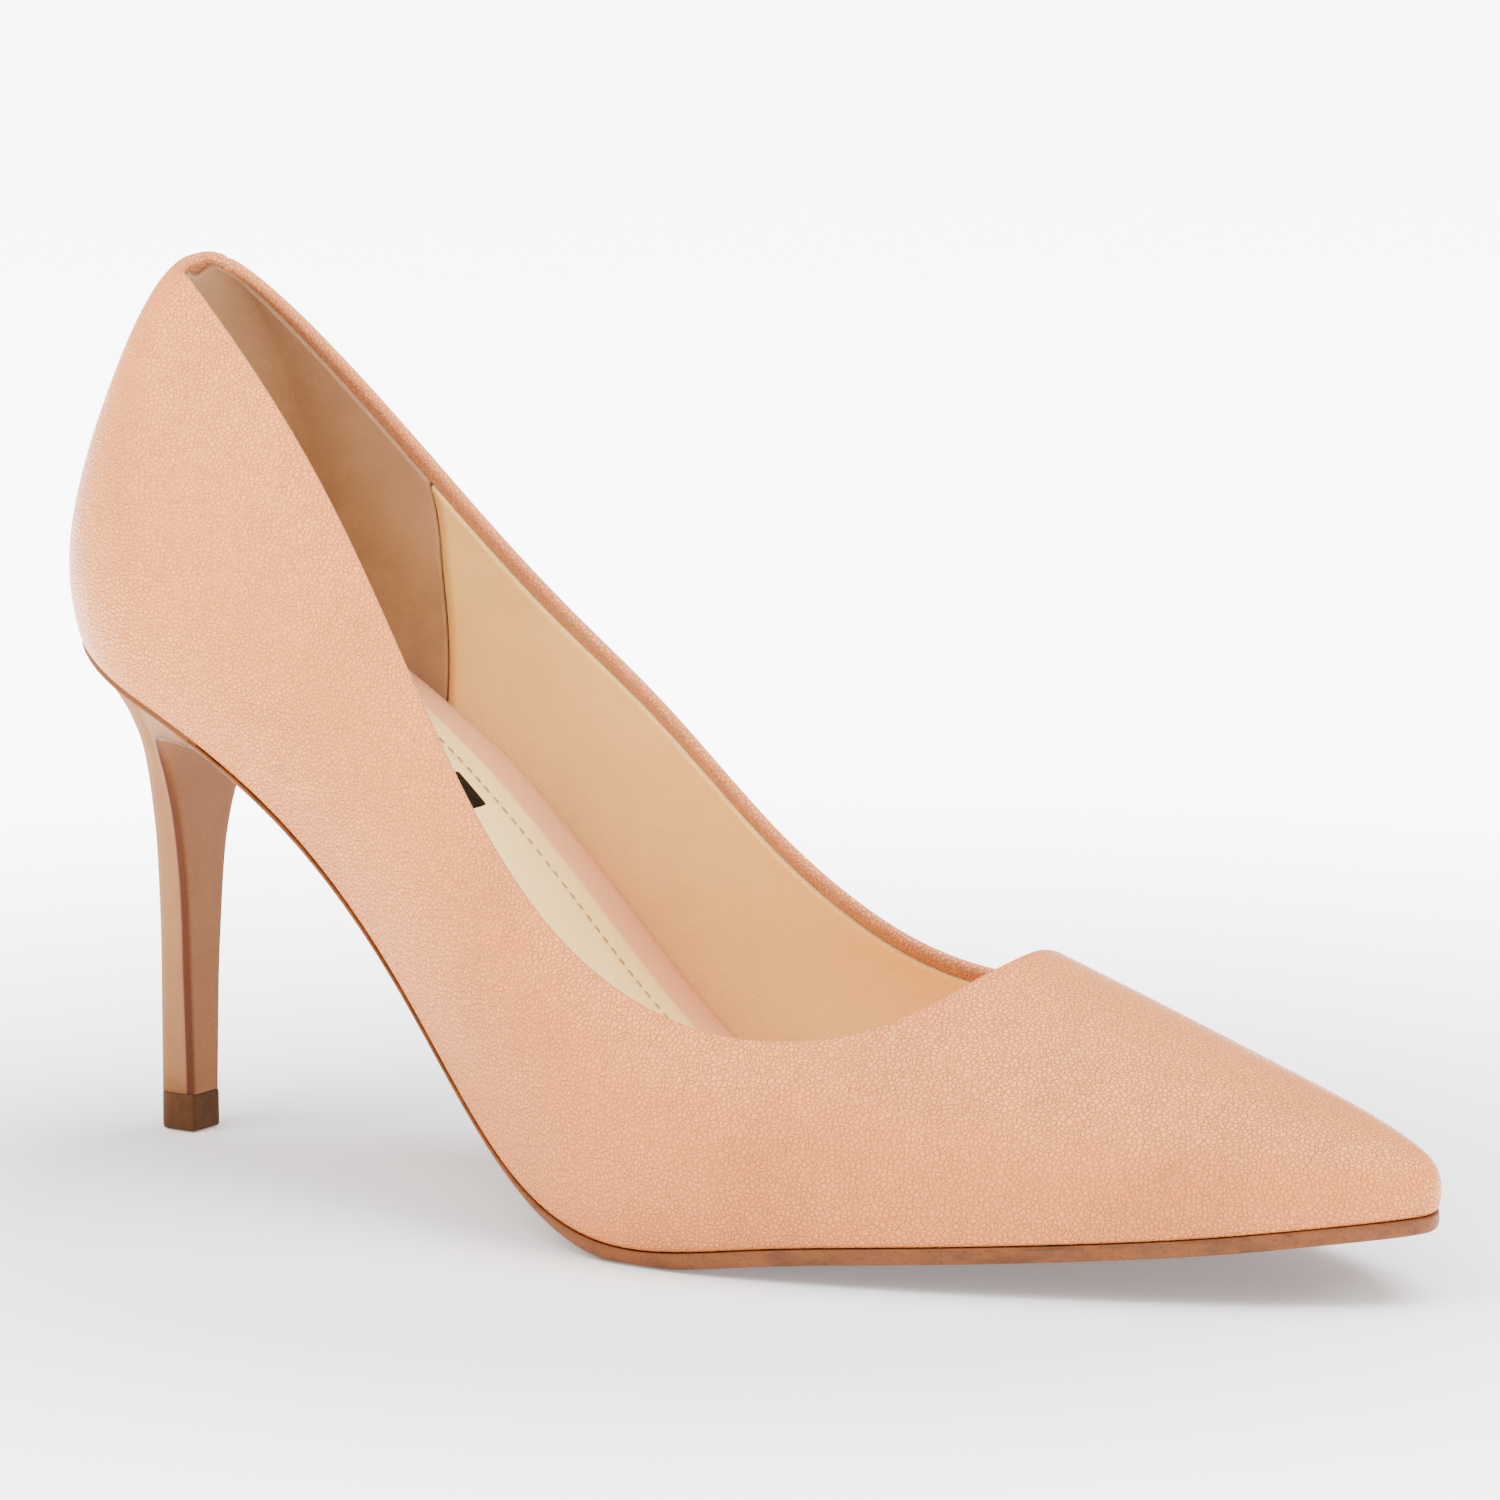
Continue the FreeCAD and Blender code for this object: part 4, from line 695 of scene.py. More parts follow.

# tone of the edge attribute: painted shade along the feather line where the upper meets the sole, the dark back
# seam, the roll, band and lip, darker as the leather turns into the shoe and towards the band's lower edge
# (partly the folded edge's own tone, partly painted shade), and everything behind
feather_painted_shade = 0.10 * np.exp(-(np.maximum(height, 0) / 1.1) ** 2)
seam_dark = 0.6 * np.exp(-(seam_run / 0.35) ** 2) * np.ones_like(height)
roll_shade = np.concatenate([0.62 * (angles / np.pi) ** 1.3, 0.62 + 0.25 * band_rows ** 6, [0.8] * 3])
edge_values = np.full(section.shape[:2], 0.6)
edge_values[:, :height.shape[1]] = np.clip(feather_painted_shade + seam_dark, 0, 1)
edge_values[:, height.shape[1]:height.shape[1] + len(roll_shade)] = roll_shade
upper = grid_mesh("upper", section, wrap_rows=True, wrap_columns=True, attributes={"edge": edge_values},
                  material=NUDE)
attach(upper, "root")
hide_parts("upper_leather", "upper_backing")


# ------------------------------------------------------------------ linings
LINING_LOW = 1.6  # where the linings start, above the feather line


def share_at_x(x, side, height_up=25.0):
    """Share of the loop whose column passes x at a height up the wall."""
    low, high = (0.03, 0.5) if side < 0 else (0.97, 0.5)
    for _ in range(30):
        middle = (low + high) / 2
        if Skin([middle]).at(np.array([[height_up]]))[0, 0, 0] < x:
            low = middle
        else:
            high = middle
    return (low + high) / 2


def lining_piece(name, shares, material, nodes, raise_edge):
    """Lining sheet over the backed leather and the stiffeners, with a rounded cut edge at the top."""
    piece = Skin(shares)
    n = len(shares)
    grid = piece.at(np.stack([piece.total - d for d in (1.0, 0.5, 0.0)], 1))
    run = unit(np.gradient(grid[:, -1], axis=0))
    up = unit(grid[:, -1] - grid[:, 0])
    lean = np.clip(np.linalg.norm(up - run * np.sum(up * run, -1, keepdims=True), axis=-1), 0.45, 1.0)
    top_at = piece.total - (FOLD_R + BAND * 1.02 + 0.12) / lean
    share = np.linspace(0, 1, 110)[None]
    rows = LINING_LOW + (top_at - LINING_LOW)[:, None] * share
    middle = piece.at(rows)
    into = normals_of(middle)
    height_share = (rows - CORNER_LEG) / (piece.total[:, None] - CORNER_LEG)
    if into[n // 4, 30, 1] * middle[n // 4, 30, 1] > 0:  # pointing away from the shoe's middle
        into = -into
    depth = BACKED + stiffening(middle, height_share)
    inside = depth + LINING_T + raise_edge * np.exp(-((top_at[:, None] - rows) / 1.3) ** 2)
    face = middle + into * inside[..., None]
    back = middle + into * (depth - 0.1)[..., None]
    radius = (inside[:, -1] - depth[:, -1] + 0.1) / 2
    rim_angles = np.linspace(0, np.pi, 8)[1:-1]
    centre = (face[:, -1] + back[:, -1]) / 2
    column = unit(middle[:, -1] - middle[:, -3])
    cosine, sine = np.cos(rim_angles)[None, :, None], np.sin(rim_angles)[None, :, None]
    rim = centre[:, None] + radius[:, None, None] * (into[:, -1:] * cosine + 0.7 * column[:, None] * sine)
    loop = np.concatenate([face, rim, back[:, ::-1]], 1)
    shade = np.concatenate([0.85 * np.exp(-((top_at[:, None] - rows) / 0.9) ** 2), np.ones((n, 6)) * 0.6,
                            np.zeros((n, rows.shape[1]))], 1)
    loop, extra = with_ends(loop, shade)
    obj = grid_mesh(name, loop, wrap_rows=True, attributes=extra, material=material)
    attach(obj, "root")
    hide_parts(*nodes)
    return obj


grip_low, grip_high = share_at_x(33.0, -1), share_at_x(33.0, 1)
count = 520
half_gap = 0.0003
lining_piece("vamp_lining", np.linspace(grip_low + half_gap, grip_high - half_gap, count),
             LINING, ["vamp_quarter_lining"], 0.10)
lining_piece("grip_lining", np.mod(np.linspace(grip_high + half_gap, 1 + grip_low - half_gap, count // 2), 1.0),
             GRIP, ["heel_grip_lining"], 0.12)

# ------------------------------------------------------------------ foot bed
BOARD_TOP, SOCK_TOP, PAD_TOP = 3.5, 5.6, 6.4


def room_outline(shares, height_over_base, clearance):
    """Plan outline of the lining's inner face at a height over the base profile."""
    piece = Skin(shares)
    rows = np.linspace(1.0, 16.0, 46)[None] * np.ones((len(shares), 1))
    grid = piece.at(rows)
    into = normals_of(grid)
    flip = np.sign(np.sum(into[:, 20] * np.concatenate([piece.inward, np.zeros((len(shares), 1))], 1), -1))
    into = into * flip[:, None, None]
    share = (rows - CORNER_LEG) / (piece.total[:, None] - CORNER_LEG)
    face = grid + into * (BACKED + stiffening(grid, share) + LINING_T)[..., None]
    rise = face[..., 2] - base_z(face[..., 0])
    levels = np.maximum.accumulate(rise, axis=1)
    points = [[np.interp(height_over_base, level, line[:, c]) for c in (0, 1)]
              for level, line in zip(levels, face)]
    return np.array(points) + piece.inward * clearance


def bed_piece(name, outline_left, outline_right, low, high, material, shade_at, radius, dome=0.0, dip=None):
    """Slab over the base profile between two side outlines with matching stations, with rounded edges."""
    n, rows = len(outline_left), 60
    width = np.linalg.norm(outline_right - outline_left, axis=1)
    reach = np.minimum(radius, 0.45 * width)
    bend = np.linspace(0, np.pi / 2, 6)[1:]
    fractions = [np.zeros(n)] + [reach * (1 - np.cos(b)) / np.maximum(width, 1e-6) for b in bend]
    left = np.stack(fractions, 1)
    middle = left[:, -1:] + (1 - 2 * left[:, -1:]) * np.linspace(0, 1, rows)[None, 1:-1]
    across = np.concatenate([left, middle, 1 - left[:, ::-1]], 1)
    lift = np.concatenate([[0.0], np.sin(bend), np.ones(rows - 2), np.sin(bend)[::-1], [0.0]])
    xy = outline_left[:, None] + (outline_right - outline_left)[:, None] * across[..., None]
    from_edge = np.minimum(across, 1 - across) * width[:, None]
    thickness = low + (high - low) * lift[None] + dome * smooth_step(0, 9.0, from_edge)
    if dip is not None:
        thickness = thickness + dip(xy, from_edge)
    loop = np.concatenate([over_base(xy, thickness), over_base(xy, low)[:, ::-1][:, 1:-1]], 1)
    shade = shade_at(from_edge)
    shade = np.concatenate([shade, shade[:, ::-1][:, 1:-1]], 1)
    first, last = loop[:1].copy(), loop[-1:].copy()
    for cap in (first, last):
        cap[..., 2] = base_z(cap[..., 0]) + low
    loop = np.concatenate([first, loop, last], 0)
    shade = np.concatenate([shade[:1], shade, shade[-1:]], 0)
    obj = grid_mesh(name, loop, wrap_rows=True, attributes={"edge": shade}, material=material)
    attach(obj, "root")
    return obj


def share_of_turn(turn):
    """Inverse of turn_of."""
    turn = np.asarray(turn, float)
    grid = np.linspace(0, 1, 8001)
    goal = np.where(turn >= SEAM_TURN, turn, turn + 2.0)
    return np.interp(goal, turn_of(grid), grid)


stations = 300
half_turns = 0.0008 + (0.9985 - 0.0008) * eased(stations)
sock_left = room_outline(share_of_turn(half_turns), SOCK_TOP, 0.05)
sock_right = room_outline(share_of_turn(2.0 - half_turns), SOCK_TOP, 0.05)
sock_x0 = max(sock_left[0, 0], sock_right[0, 0]) + 0.15
sock_x1 = min(sock_left[-1, 0], sock_right[-1, 0]) - 0.3
x_common = sock_x0 + (sock_x1 - sock_x0) * eased(stations)


def by_x(points, x):
    """The outline read off at the given stations."""
    order = np.argsort(points[:, 0])
    return np.stack([x, np.interp(x, points[order, 0], points[order, 1])], -1)


sock_a, sock_b = by_x(sock_left, x_common), by_x(sock_right, x_common)
# painted shade: the sock darker where it meets the lining wall
sock = bed_piece("sock", sock_a, sock_b, BOARD_TOP, SOCK_TOP, SOCK,
                 lambda from_edge: 0.5 * np.exp(-(from_edge / 1.2) ** 2), 0.7)
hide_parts("insock", "insock_foam")

# cream padded panel
PAD_INSET, PAD_END, PAD_STITCH = 9.4, 121.0, 5.0
PAD_NOSE = 16.0
PAD_ROUND = REACH[0] - PAD_INSET + 1.2


def pad_boundary(x):
    """Side outlines of the panel: parallel to the feather line, drawn in to a round front and back."""
    u = station_of(x)
    left = -half_width(u, -1.0) + PAD_INSET
    right = half_width(u, 1.0) - PAD_INSET
    back = np.where(x < FAN_X, np.sqrt(np.clip(1 - ((FAN_X - x) / PAD_ROUND) ** 2, 0, 1)), 1.0)
    past = np.clip((x - (PAD_END - PAD_NOSE)) / PAD_NOSE, 0, 1)
    nose = np.sqrt(np.clip(1 - past ** 2, 0, 1)) * 0.35 + 0.65
    nose = np.where(x >= PAD_END, 0.65, nose)
    c = (left + right) / 2
    return (np.stack([x, shift_at(x) + c + (left - c) * back * nose], -1),
            np.stack([x, shift_at(x) + c + (right - c) * back * nose], -1))


pad_x0 = FAN_X - PAD_ROUND + 0.05
pad_x = pad_x0 + (PAD_END - pad_x0) * eased(260)
pad_a, pad_b = pad_boundary(pad_x)


def pad_quilt(xy, from_edge):
    """Groove pulled in along the stitch line."""
    end = np.minimum(xy[..., 0] - pad_x0, PAD_END - xy[..., 0])
    near = np.minimum(from_edge, end)
    return -0.30 * np.exp(-((near - PAD_STITCH) / 0.55) ** 2)


# painted shade: the panel darker at the foot of its rounded edge, where it meets the sock
pad = bed_piece("pad", pad_a, pad_b, SOCK_TOP - 0.3, PAD_TOP, CREAM,
                lambda from_edge: 0.8 * np.exp(-(from_edge / 0.35) ** 2), 0.6, dome=0.30, dip=pad_quilt)
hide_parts("insock_pad")

# label patch on the panel, blank
LABEL_X, LABEL_Y = 47.5, 1.0
LABEL_HALF_LENGTH, LABEL_HALF_WIDTH = 3.75, 11.0
CORNER_POWER = 20  # of the rounded rectangle
lu, lv = np.meshgrid(np.linspace(-1, 1, 33), np.linspace(-1, 1, 13), indexing="ij")
largest = np.maximum(np.abs(lu), np.abs(lv))
powers = np.maximum(np.abs(lu) ** CORNER_POWER + np.abs(lv) ** CORNER_POWER, 1e-9)
rounded = powers ** (-1 / CORNER_POWER) * largest
slope = float((base_z(LABEL_X + 1) - base_z(LABEL_X - 1)) / 2)
label_xy = np.stack([LABEL_X + LABEL_HALF_LENGTH / math.hypot(1, slope) * lu * rounded,
                     LABEL_Y + LABEL_HALF_WIDTH * lv * rounded], -1)
label_top = over_base(label_xy, PAD_TOP + 0.30 + 0.16 * (1 - largest ** 8))
label_low = over_base(label_xy, PAD_TOP + 0.10)
label_loop = np.concatenate([label_top, label_low[:, ::-1]], 1)
label_ends = np.repeat(label_low.mean(1)[[0, -1], None], label_loop.shape[1], 1)
label_loop = np.concatenate([label_ends[:1], label_loop, label_ends[1:]], 0)
label = grid_mesh("label_patch", label_loop, wrap_rows=True,
                  attributes={"edge": np.zeros(label_loop.shape[:2])}, material=LABEL)
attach(label, "root")
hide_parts("insock_label")

# ------------------------------------------------------------------ outsole
SOLE_FORE, SOLE_WAIST = 2.6, 0.8
SOLE_SEAM = 0.04  # from the base down to the sole's upper face
# edge section from the top round to the underside: distance out from the feather line, share of half the height
SOLE_SECTION = [(-3.2, 1.0), (-1.2, 1.0), (-0.12, 1.0), (0.03, 0.95), (0.10, 0.78), (0.14, 0.35), (0.15, 0.0),
                (0.12, -0.35), (0.0, -0.66), (-0.28, -0.88), (-0.75, -0.985), (-1.4, -1.0), (-3.2, -1.0)]


def sole_bottom(x):
    """Height of the underside: thin in the waist, cut level where it stands on the ground."""
    thick = SOLE_WAIST + (SOLE_FORE - SOLE_WAIST) * smooth_step(84.0, 112.0, x)
    return np.maximum(base_z(x) - thick, 0.0)


q_first = float(station_of(SEAT_FRONT - 1.2))
q_list = q_first + (1 - q_first) * np.linspace(0, 1, 220) ** 0.9
q_list[-1] = 0.99999


def sole_side(side):
    """Edge profile all along one side: rows run from the top, round the edge, to the underside."""
    p = shifted(plan(q_list, 0.0, side))
    d = shifted(plan(np.minimum(q_list + 1e-4, 1.0), 0.0, side)) - shifted(plan(q_list - 1e-4, 0.0, side))
    n = unit(np.stack([-d[:, 1], d[:, 0]], -1))
    n = n * np.where(n[:, 1] * side > 0, 1.0, -1.0)[:, None]
    n[-1] = (1.0, 0.0)
    top, low = base_z(p[:, 0]) - SOLE_SEAM, sole_bottom(p[:, 0])
    middle, half = (top + low) / 2, (top - low) / 2
    return np.stack([np.concatenate([p + n * out, (middle + half * level)[:, None]], 1)
                     for out, level in SOLE_SECTION], 1)


left_edge, right_edge = sole_side(-1.0), sole_side(1.0)
f = np.linspace(0, 1, 42)[None, 1:-1, None]
under = left_edge[:, -1:] * (1 - f) + right_edge[:, -1:] * f
under[..., 2] = sole_bottom(under[..., 0])
over = right_edge[:, :1] * (1 - f) + left_edge[:, :1] * f
over[..., 2] = base_z(over[..., 0]) - SOLE_SEAM
sole_loop = np.concatenate([left_edge, under, right_edge[:, ::-1], over], 1)
# painted shade: the top of the sole's edge darker, in the crevice under the upper
rim_shade = 0.15 * np.exp(-((np.linspace(-1, 1, left_edge.shape[1]) + 0.5) / 0.2) ** 2)
section_shade = np.concatenate([rim_shade, np.zeros(under.shape[1]), rim_shade[::-1], np.zeros(over.shape[1])])
sole_ends = np.repeat(sole_loop[[0, -1]].mean(1)[:, None], sole_loop.shape[1], 1)
sole_loop = np.concatenate([sole_ends[:1], sole_loop, sole_ends[1:]], 0)
sole_shade = np.tile(section_shade, (len(sole_loop), 1))
sole = grid_mesh("sole", sole_loop, wrap_rows=True, attributes={"edge": sole_shade}, material=SOLE)
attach(sole, "root")
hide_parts("outsole")

# ------------------------------------------------------------------ heel
TIP_TOP, TIP_HALF, TIP_BACK, TIP_FRONT, FLAP, COVER_T = 6.0, 3.5, -3.75, 4.0, 1.0, 0.9
RIM_DROP = 0.5  # from the base down to the heel's rim
# how far the outline has opened from tip to seat at each step up, along x and y, at the back and at the breast
FLARE_STEP = [0.0, 0.15, 0.3, 0.4, 0.5, 0.6, 0.7, 0.8, 0.87, 0.93, 0.965, 1.0]
FLARE_BACK_X = [0.0, 0.0, 0.01, 0.07, 0.22, 0.45, 0.70, 0.87, 0.935, 0.97, 0.99, 1.0]
FLARE_BACK_Y = [0.0, 0.0, 0.057, 0.14, 0.25, 0.46, 0.71, 0.92, 0.97, 0.99, 0.995, 1.0]
FLARE_EDGE_X = [0.0, 0.0, 0.012, 0.016, 0.03, 0.054, 0.095, 0.175, 0.254, 0.464, 0.697, 1.0]
FLARE_EDGE_Y = [0.0, 0.025, 0.058, 0.096, 0.158, 0.246, 0.354, 0.479, 0.563, 0.708, 0.838, 1.0]


def tip_outline(turn):
    """Outline of the heel at the tip; turn 0 is the back, -1 and 1 the breast edges."""
    side = np.where(turn < 0, -1.0, 1.0)
    round_x = TIP_BACK + TIP_HALF
    quarter = TIP_HALF * np.pi / 2
    straight = TIP_FRONT - FLAP - round_x
    distance = np.abs(turn) * (straight + quarter)
    angle = np.minimum(distance, quarter) / TIP_HALF
    x = np.where(distance < quarter, round_x - TIP_HALF * np.cos(angle), round_x + distance - quarter)
    return np.stack([x, side * TIP_HALF * np.sin(angle)], -1)


def seat_outline(turn):
    """Outline of the heel at the seat, along the feather line."""
    out = np.zeros(turn.shape + (2,))
    for side in (-1, 1):
        pick = (turn < 0) if side < 0 else (turn >= 0)
        lengths, qs = FEATHER_TABLE[side]
        end = np.interp(float(station_of(SEAT_FRONT)), qs, lengths)
        out[pick] = shifted(plan(np.interp(np.abs(turn[pick]) * end, lengths, qs), 0.0, side))
    return out


def heel_face(turn, step):
    """Outer face of the heel; step runs from the tip up to the seat rim."""
    edge = np.abs(turn) ** 2
    edge = edge + (1 - edge) * smooth_step(0.6, 1.0, np.abs(turn))
    opened = np.stack([(1 - edge) * smooth_map(FLARE_STEP, back, step)
                       + edge * smooth_map(FLARE_STEP, breast, step)
                       for back, breast in ((FLARE_BACK_X, FLARE_EDGE_X), (FLARE_BACK_Y, FLARE_EDGE_Y))], -1)
    low, high = tip_outline(turn), seat_outline(turn)
    top = base_z(high[..., 0]) - RIM_DROP
    z = TIP_TOP + (top - TIP_TOP) * (1 - (1 - step) ** 2)
    return np.concatenate([low + (high - low) * opened, z[..., None]], -1)


turns = np.linspace(-1, 1, 181)
steps_up = np.linspace(0.0, 1.0, 200)
tt, ss = np.meshgrid(turns, steps_up, indexing="ij")
cover_out = heel_face(tt, ss)
cover_in = normals_of(cover_out)
if cover_in[20, 50, 1] < 0:  # on the outer side, inwards is +y
    cover_in = -cover_in
rim_angles = np.linspace(0, np.pi, 8)[1:-1]
cover_back = cover_out + cover_in * COVER_T
rim_centre = (cover_out[:, -1] + cover_back[:, -1]) / 2
cosine, sine = np.cos(rim_angles)[None, :, None], np.sin(rim_angles)[None, :, None]
rim = rim_centre[:, None] + COVER_T / 2 * (-cover_in[:, -1:] * cosine + np.array([0, 0, 0.9]) * sine)
cover_loop = np.concatenate([cover_out, rim, cover_back[:, ::-1]], 1)
# darker along the breast seams and at the foot above the tip; painted shade along the top rim where the cover
# meets the upper
cover_seams_and_shade = 0.5 * np.exp(-((1 - np.abs(tt)) * 20.0) ** 2) + 0.35 * np.exp(-((1 - ss) * 60.0) ** 2)
cover_seams_and_shade = cover_seams_and_shade + 0.5 * np.exp(-(ss * 60.0) ** 2)
cover_shade = np.concatenate([np.clip(cover_seams_and_shade, 0, 1), np.ones((len(turns), len(rim_angles))),
                              np.ones_like(ss)], 1)
cover_loop, extra = with_ends(cover_loop, cover_shade)
cover = grid_mesh("heel_covering", cover_loop, wrap_rows=True, attributes=extra, material=COVER)
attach(cover, "root")
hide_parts("heel_cover")

# breast: sole leather down the front of the heel
edge_l, edge_r = cover_out[0], cover_out[-1]
across_rows = np.linspace(0, 1, 41)
face = edge_l[None] + (edge_r - edge_l)[None] * across_rows[:, None, None]
run = np.gradient(face, axis=1)
front = unit(np.stack([run[..., 2], np.zeros_like(run[..., 0]), -run[..., 0]], -1))
rounding = np.sqrt(np.clip(1 - np.abs(2 * across_rows - 1) ** 14, 0, 1))[:, None, None]
breast_front = face + front * (0.15 + 0.85 * rounding) * FLAP
breast_front[:, 0, 2] = TIP_TOP
breast_loop = np.concatenate([breast_front, (face - front * 0.2)[:, ::-1]], 1)
side_near = np.minimum(across_rows, 1 - across_rows)[:, None] * np.linalg.norm(edge_r - edge_l, axis=1)[None]
breast_shade = np.concatenate([np.exp(-(side_near / 0.62) ** 2), np.ones_like(side_near)], 1)
breast_loop, extra = with_ends(breast_loop, breast_shade)
breast = grid_mesh("breast_flap", breast_loop, wrap_rows=True, attributes=extra, material=BREAST)
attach(breast, "root")
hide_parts("heel_breast_flap")

# top lift
tip_turns = np.linspace(-1, 1, 61)
back_part = tip_outline(tip_turns)
back_part[0, 0] = back_part[-1, 0] = TIP_FRONT - 0.35
corner_l = np.array([[TIP_FRONT - 0.1, -TIP_HALF + 0.12], [TIP_FRONT, -TIP_HALF + 0.4]])
front_line = np.stack([np.full(9, TIP_FRONT), np.linspace(-TIP_HALF + 0.8, TIP_HALF - 0.8, 9)], -1)
ring = np.concatenate([back_part, corner_l * [1, -1], front_line[::-1], corner_l[::-1]], 0)
tip_centre = np.array([-0.3, 0.0])
# share of the outline and height, from the middle of the ground face round to the middle of the top face
TIP_PROFILE = [(0.0, 0.02), (0.9, 0.02), (0.985, 0.06), (1.01, 0.35), (1.012, 1.2), (1.008, 3.5), (1.004, 5.4),
               (0.99, 5.85), (0.96, 5.98), (0.0, 5.98)]
tip_grid = np.stack([np.concatenate([tip_centre + (ring - tip_centre) * share, np.full((len(ring), 1), z)], 1)
                     for share, z in TIP_PROFILE], 1)
dimple = np.exp(-(((tip_grid[..., 1] - 0.4) / 0.35) ** 2 + ((tip_grid[..., 2] - 3.5) / 0.35) ** 2))
tip_grid[..., 0] -= 0.3 * dimple * (tip_grid[..., 0] > 3.0)
tip = grid_mesh("tip", tip_grid, wrap_columns=True, material=TIP)
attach(tip, "root")
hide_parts("top_lift")


# ------------------------------------------------------------------ stitching
def stitches(name, line, up, length, pitch, radius, material, sink=0.0, skew=0.0):
    """Short thread loops along a polyline; up is the surface direction at each point."""
    run = np.concatenate([[0], np.cumsum(np.linalg.norm(np.diff(line, axis=0), axis=1))])
    number = int(run[-1] / pitch)
    ring = np.linspace(0, 2 * np.pi, 9)[:-1]
    t = np.linspace(-1, 1, 9)
    i, j = np.meshgrid(np.arange(8), np.arange(8), indexing="ij")
    after = (j + 1) % 8
    sides = np.stack([i * 8 + j, (i + 1) * 8 + j, (i + 1) * 8 + after, i * 8 + after], -1).reshape(-1, 4)
    first_cap = np.array([[0, 1, 2, 3], [0, 3, 4, 7], [4, 5, 6, 7]])
    one = np.concatenate([sides, first_cap[:, ::-1], first_cap + 64])
    rng = np.random.default_rng(7)

    def sample(values, s):
        return np.array([np.interp(s, run, values[:, i]) for i in range(3)])

    points = []
    for k in range(number):
        s = (k + 0.5) * pitch + rng.normal(0, 0.03 * pitch)
        c, n = sample(line, s), unit(sample(up, s))
        d = unit(sample(line, s + 0.2) - sample(line, s - 0.2))
        side = np.cross(d, n)
        d = unit(d + side * (skew + rng.normal(0, 0.02)))
        side = unit(np.cross(d, n))
        arch = radius * 0.9 * (1 - t ** 2) - sink
        fat = radius * np.sqrt(np.clip(1 - np.abs(t) ** 5, 0.02, 1))
        axis = c[None] + d[None] * (t * length / 2)[:, None] + n[None] * arch[:, None]
        spokes = n * np.cos(ring)[:, None] + side * np.sin(ring)[:, None]
        points.append((axis[:, None] + fat[:, None, None] * spokes[None]).reshape(-1, 3))
    faces = np.concatenate([one + 72 * k for k in range(number)])
    obj = quad_mesh(name, np.concatenate(points), faces, material=material)
    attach(obj, "root")
    return obj


stitch_at = (skin.total - (FOLD_R + BAND * 1.02) / slant)[:, None]
stitch_line = skin.at(stitch_at)[:, 0]
stitch_up = band_in[:, -1]
stitches("topline_stitching", stitch_line + stitch_up * 1.78, stitch_up, 1.5, 2.3, 0.12, THREAD,
         sink=0.02, skew=0.05)


def inset_line(edge, sign, distance):
    """A side outline moved towards the middle of the panel."""
    d = np.gradient(edge, axis=0)
    n = unit(np.stack([-d[:, 1], d[:, 0]], -1))
    return edge + n * np.where(n[:, 1] * sign > 0, 1, -1)[:, None] * distance


PAD_STITCH_END = 4.0  # no stitches closer than this to the panel's ends
a_line, b_line = inset_line(pad_a, 1, PAD_STITCH), inset_line(pad_b, -1, PAD_STITCH)
middle_y = (pad_a[:, 1] + pad_b[:, 1]) / 2
good = (a_line[:, 1] < middle_y - 0.5) & (b_line[:, 1] > middle_y + 0.5)
good &= (pad_x > pad_x0 + PAD_STITCH_END) & (pad_x < PAD_END - PAD_STITCH_END)
pad_line = np.concatenate([a_line[good][::-1], b_line[good]], 0)
slopes = (base_z(pad_line[:, 0] + 1) - base_z(pad_line[:, 0] - 1)) / 2
pad_up = unit(np.stack([-slopes, np.zeros_like(slopes), np.ones_like(slopes)], -1))
stitches("panel_stitching", over_base(pad_line, PAD_TOP + 0.02), pad_up, 1.5, 2.2, 0.14, SOCK_THREAD)

# ------------------------------------------------------------------ pieces still shown as packed
SHOWN = [
    (BOARD, ["heel_counter", "toe_puff", "insole_board", "tuck_board"]), (CORK, ["bottom_filler"]),
    (PLASTIC, ["heel_core"]),
    (STEEL, ["steel_shank", "shank_rivet_rear", "shank_rivet_front", "heel_dowel", "top_lift_pin", "heel_screw",
             "heel_nail_1", "heel_nail_2", "heel_nail_3", "heel_nail_4"]),
]
for material, nodes in SHOWN:
    for node in nodes:
        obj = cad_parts[node]
        obj.data.materials.clear()
        obj.data.materials.append(material)

# ------------------------------------------------------------------ floor, light, camera
floor_material = Maker("floor")
haze = floor_material.noise(400.0, 2.0)
floor_material.colour(floor_material.ramp(haze, [(0.3, (0.90, 0.90, 0.90)), (0.7, (0.93, 0.93, 0.93))]))
floor_material.rough(floor_material.ramp(haze, [(0.3, 0.6), (0.7, 0.7)]))
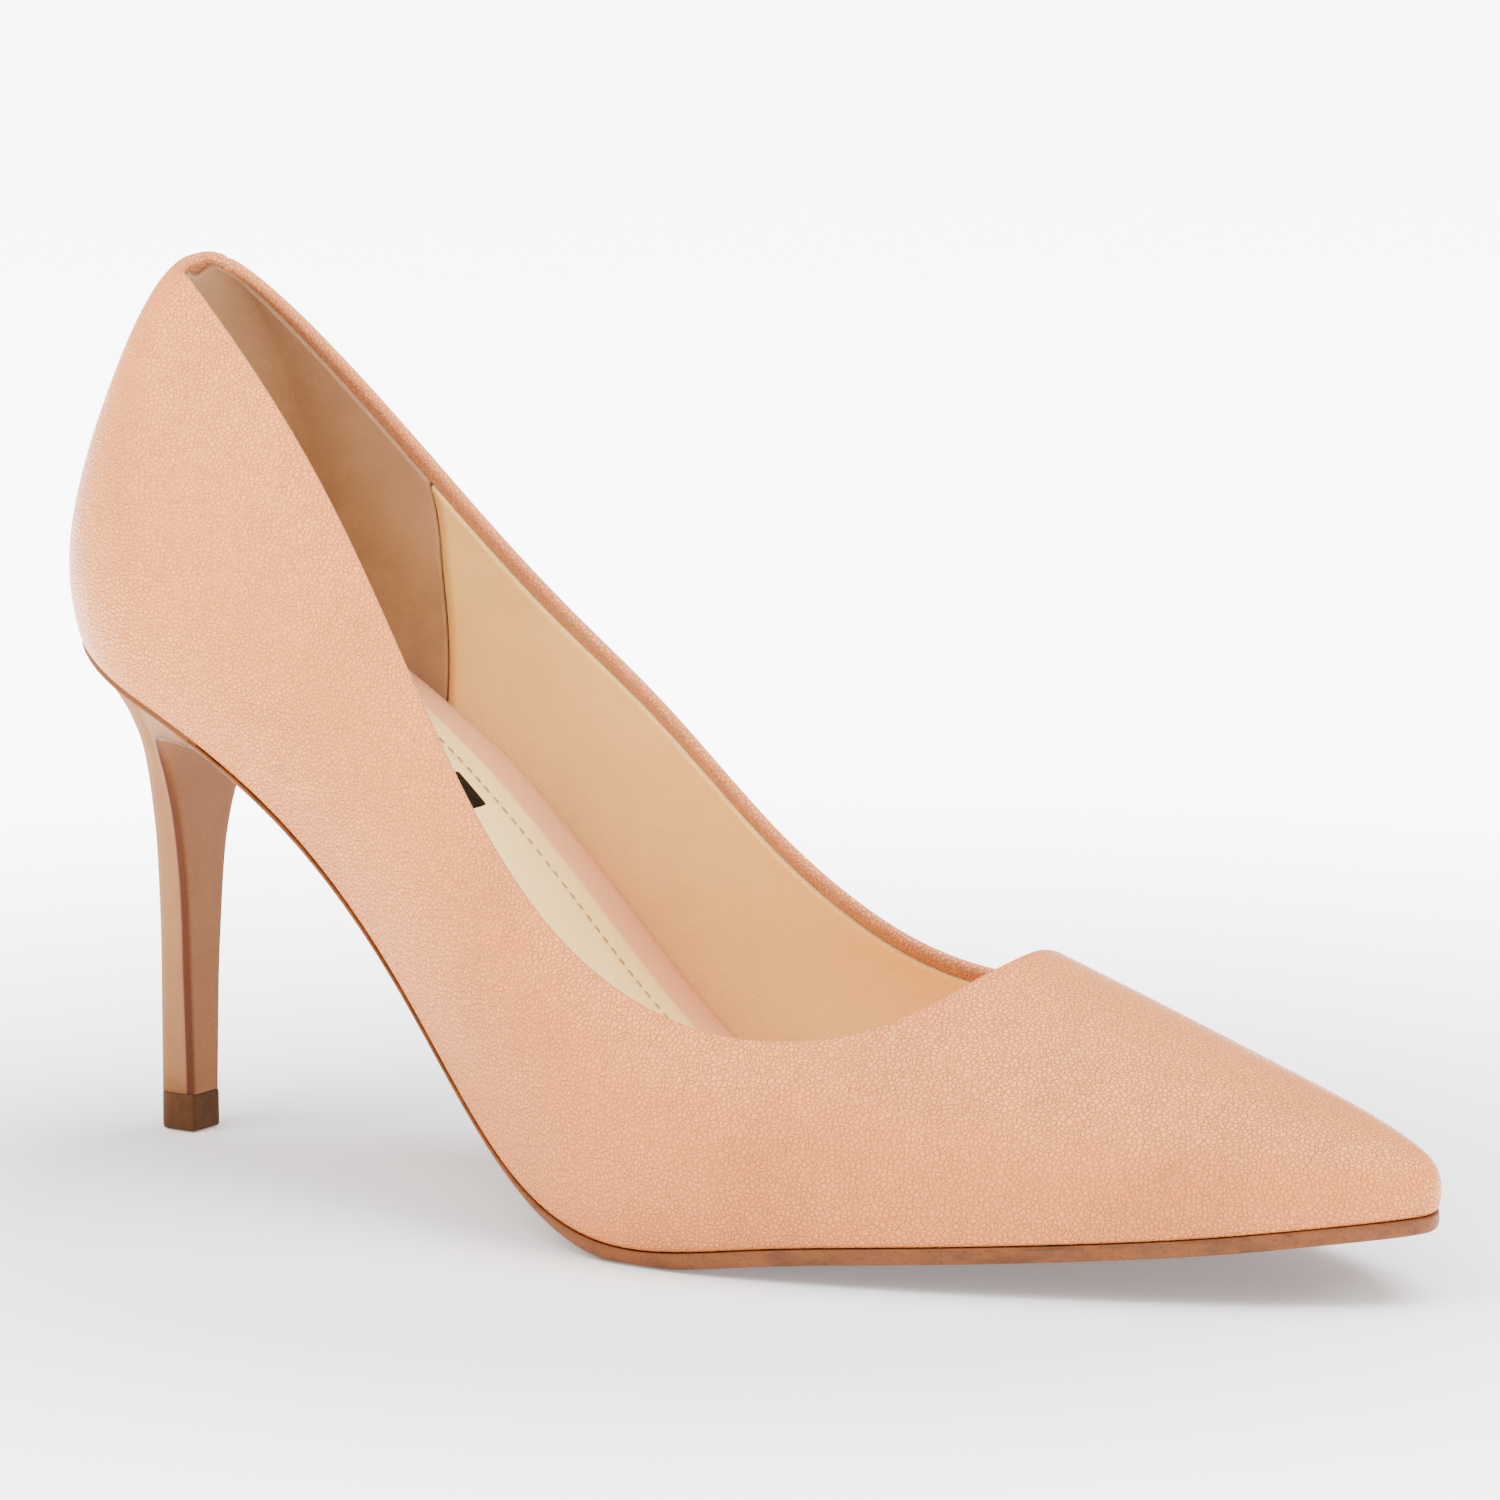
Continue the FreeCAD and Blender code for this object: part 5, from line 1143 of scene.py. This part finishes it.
# painted light: the floor glows by emission, plain under the shoe as a painted shadow and brighter away from
# it, so it also lights the shoe from below
PAINTED_GLOW_REACH, PAINTED_GLOW = 700.0, 7.5
distance = floor_material.tree.nodes.new("ShaderNodeVectorMath")
distance.operation = "LENGTH"
floor_material.link(floor_material.vector, distance.inputs[0])
painted_glow = floor_material.ramp(floor_material.math("DIVIDE", distance.outputs["Value"], PAINTED_GLOW_REACH, True),
                           [(0.15, 0.04), (0.36, 0.50), (0.58, 1.0)])
floor_material.link(floor_material.math("MULTIPLY", painted_glow, PAINTED_GLOW),
                    floor_material.shader.inputs["Emission Strength"])
floor_material.set(Emission_Color=(1.0, 1.0, 1.0, 1.0))
bpy.ops.mesh.primitive_plane_add(size=14, location=(0.1, 0, -0.0002))
floor = bpy.context.object
floor.name = "floor"
floor.data.materials.append(floor_material.material)


def area_light(name, place, aim, size_x, size_y, power, colour=(1, 1, 1)):
    data = bpy.data.lights.new(name, "AREA")
    data.shape = "RECTANGLE"
    data.size, data.size_y, data.energy, data.color = size_x, size_y, power, colour
    obj = bpy.data.objects.new(name, data)
    obj.location = place
    obj.rotation_euler = (Vector(aim) - Vector(place)).to_track_quat("-Z", "Y").to_euler()
    bpy.context.scene.collection.objects.link(obj)
    return obj


area_light("key", (-0.35, -0.95, 1.35), (0.09, 0, 0.05), 0.9, 0.9, 26.0, (1.0, 0.985, 0.965))
area_light("fill", (1.3, -0.75, 0.75), (0.1, 0, 0.05), 1.2, 1.0, 1.0, (0.98, 0.99, 1.0))
area_light("top", (0.48, 0.22, 1.45), (0.1, 0, 0.05), 1.4, 1.2, 48.0)
world = bpy.data.worlds.new("studio")
world.use_nodes = True
world.node_tree.nodes["Background"].inputs["Color"].default_value = (1.0, 1.0, 1.0, 1)
world.node_tree.nodes["Background"].inputs["Strength"].default_value = 0.95
bpy.context.scene.world = world

camera_data = bpy.data.cameras.new("camera")
camera = bpy.data.objects.new("camera", camera_data)
bpy.context.scene.collection.objects.link(camera)
AZIMUTH, ELEVATION, DISTANCE = math.radians(33.384), math.radians(9.719), 1.2
target = Vector((0.095, 0.0, 0.060))
away = Vector((math.sin(AZIMUTH) * math.cos(ELEVATION), -math.cos(AZIMUTH) * math.cos(ELEVATION),
               math.sin(ELEVATION)))
camera.location = target + away * DISTANCE
camera.rotation_euler = (-away).to_track_quat("-Z", "Y").to_euler()
camera_data.sensor_width = 36.0
camera_data.lens = 189.9
camera_data.shift_x = 0.0439
camera_data.shift_y = 0.0400
camera_data.clip_start, camera_data.clip_end = 0.05, 30.0
bpy.context.scene.camera = camera
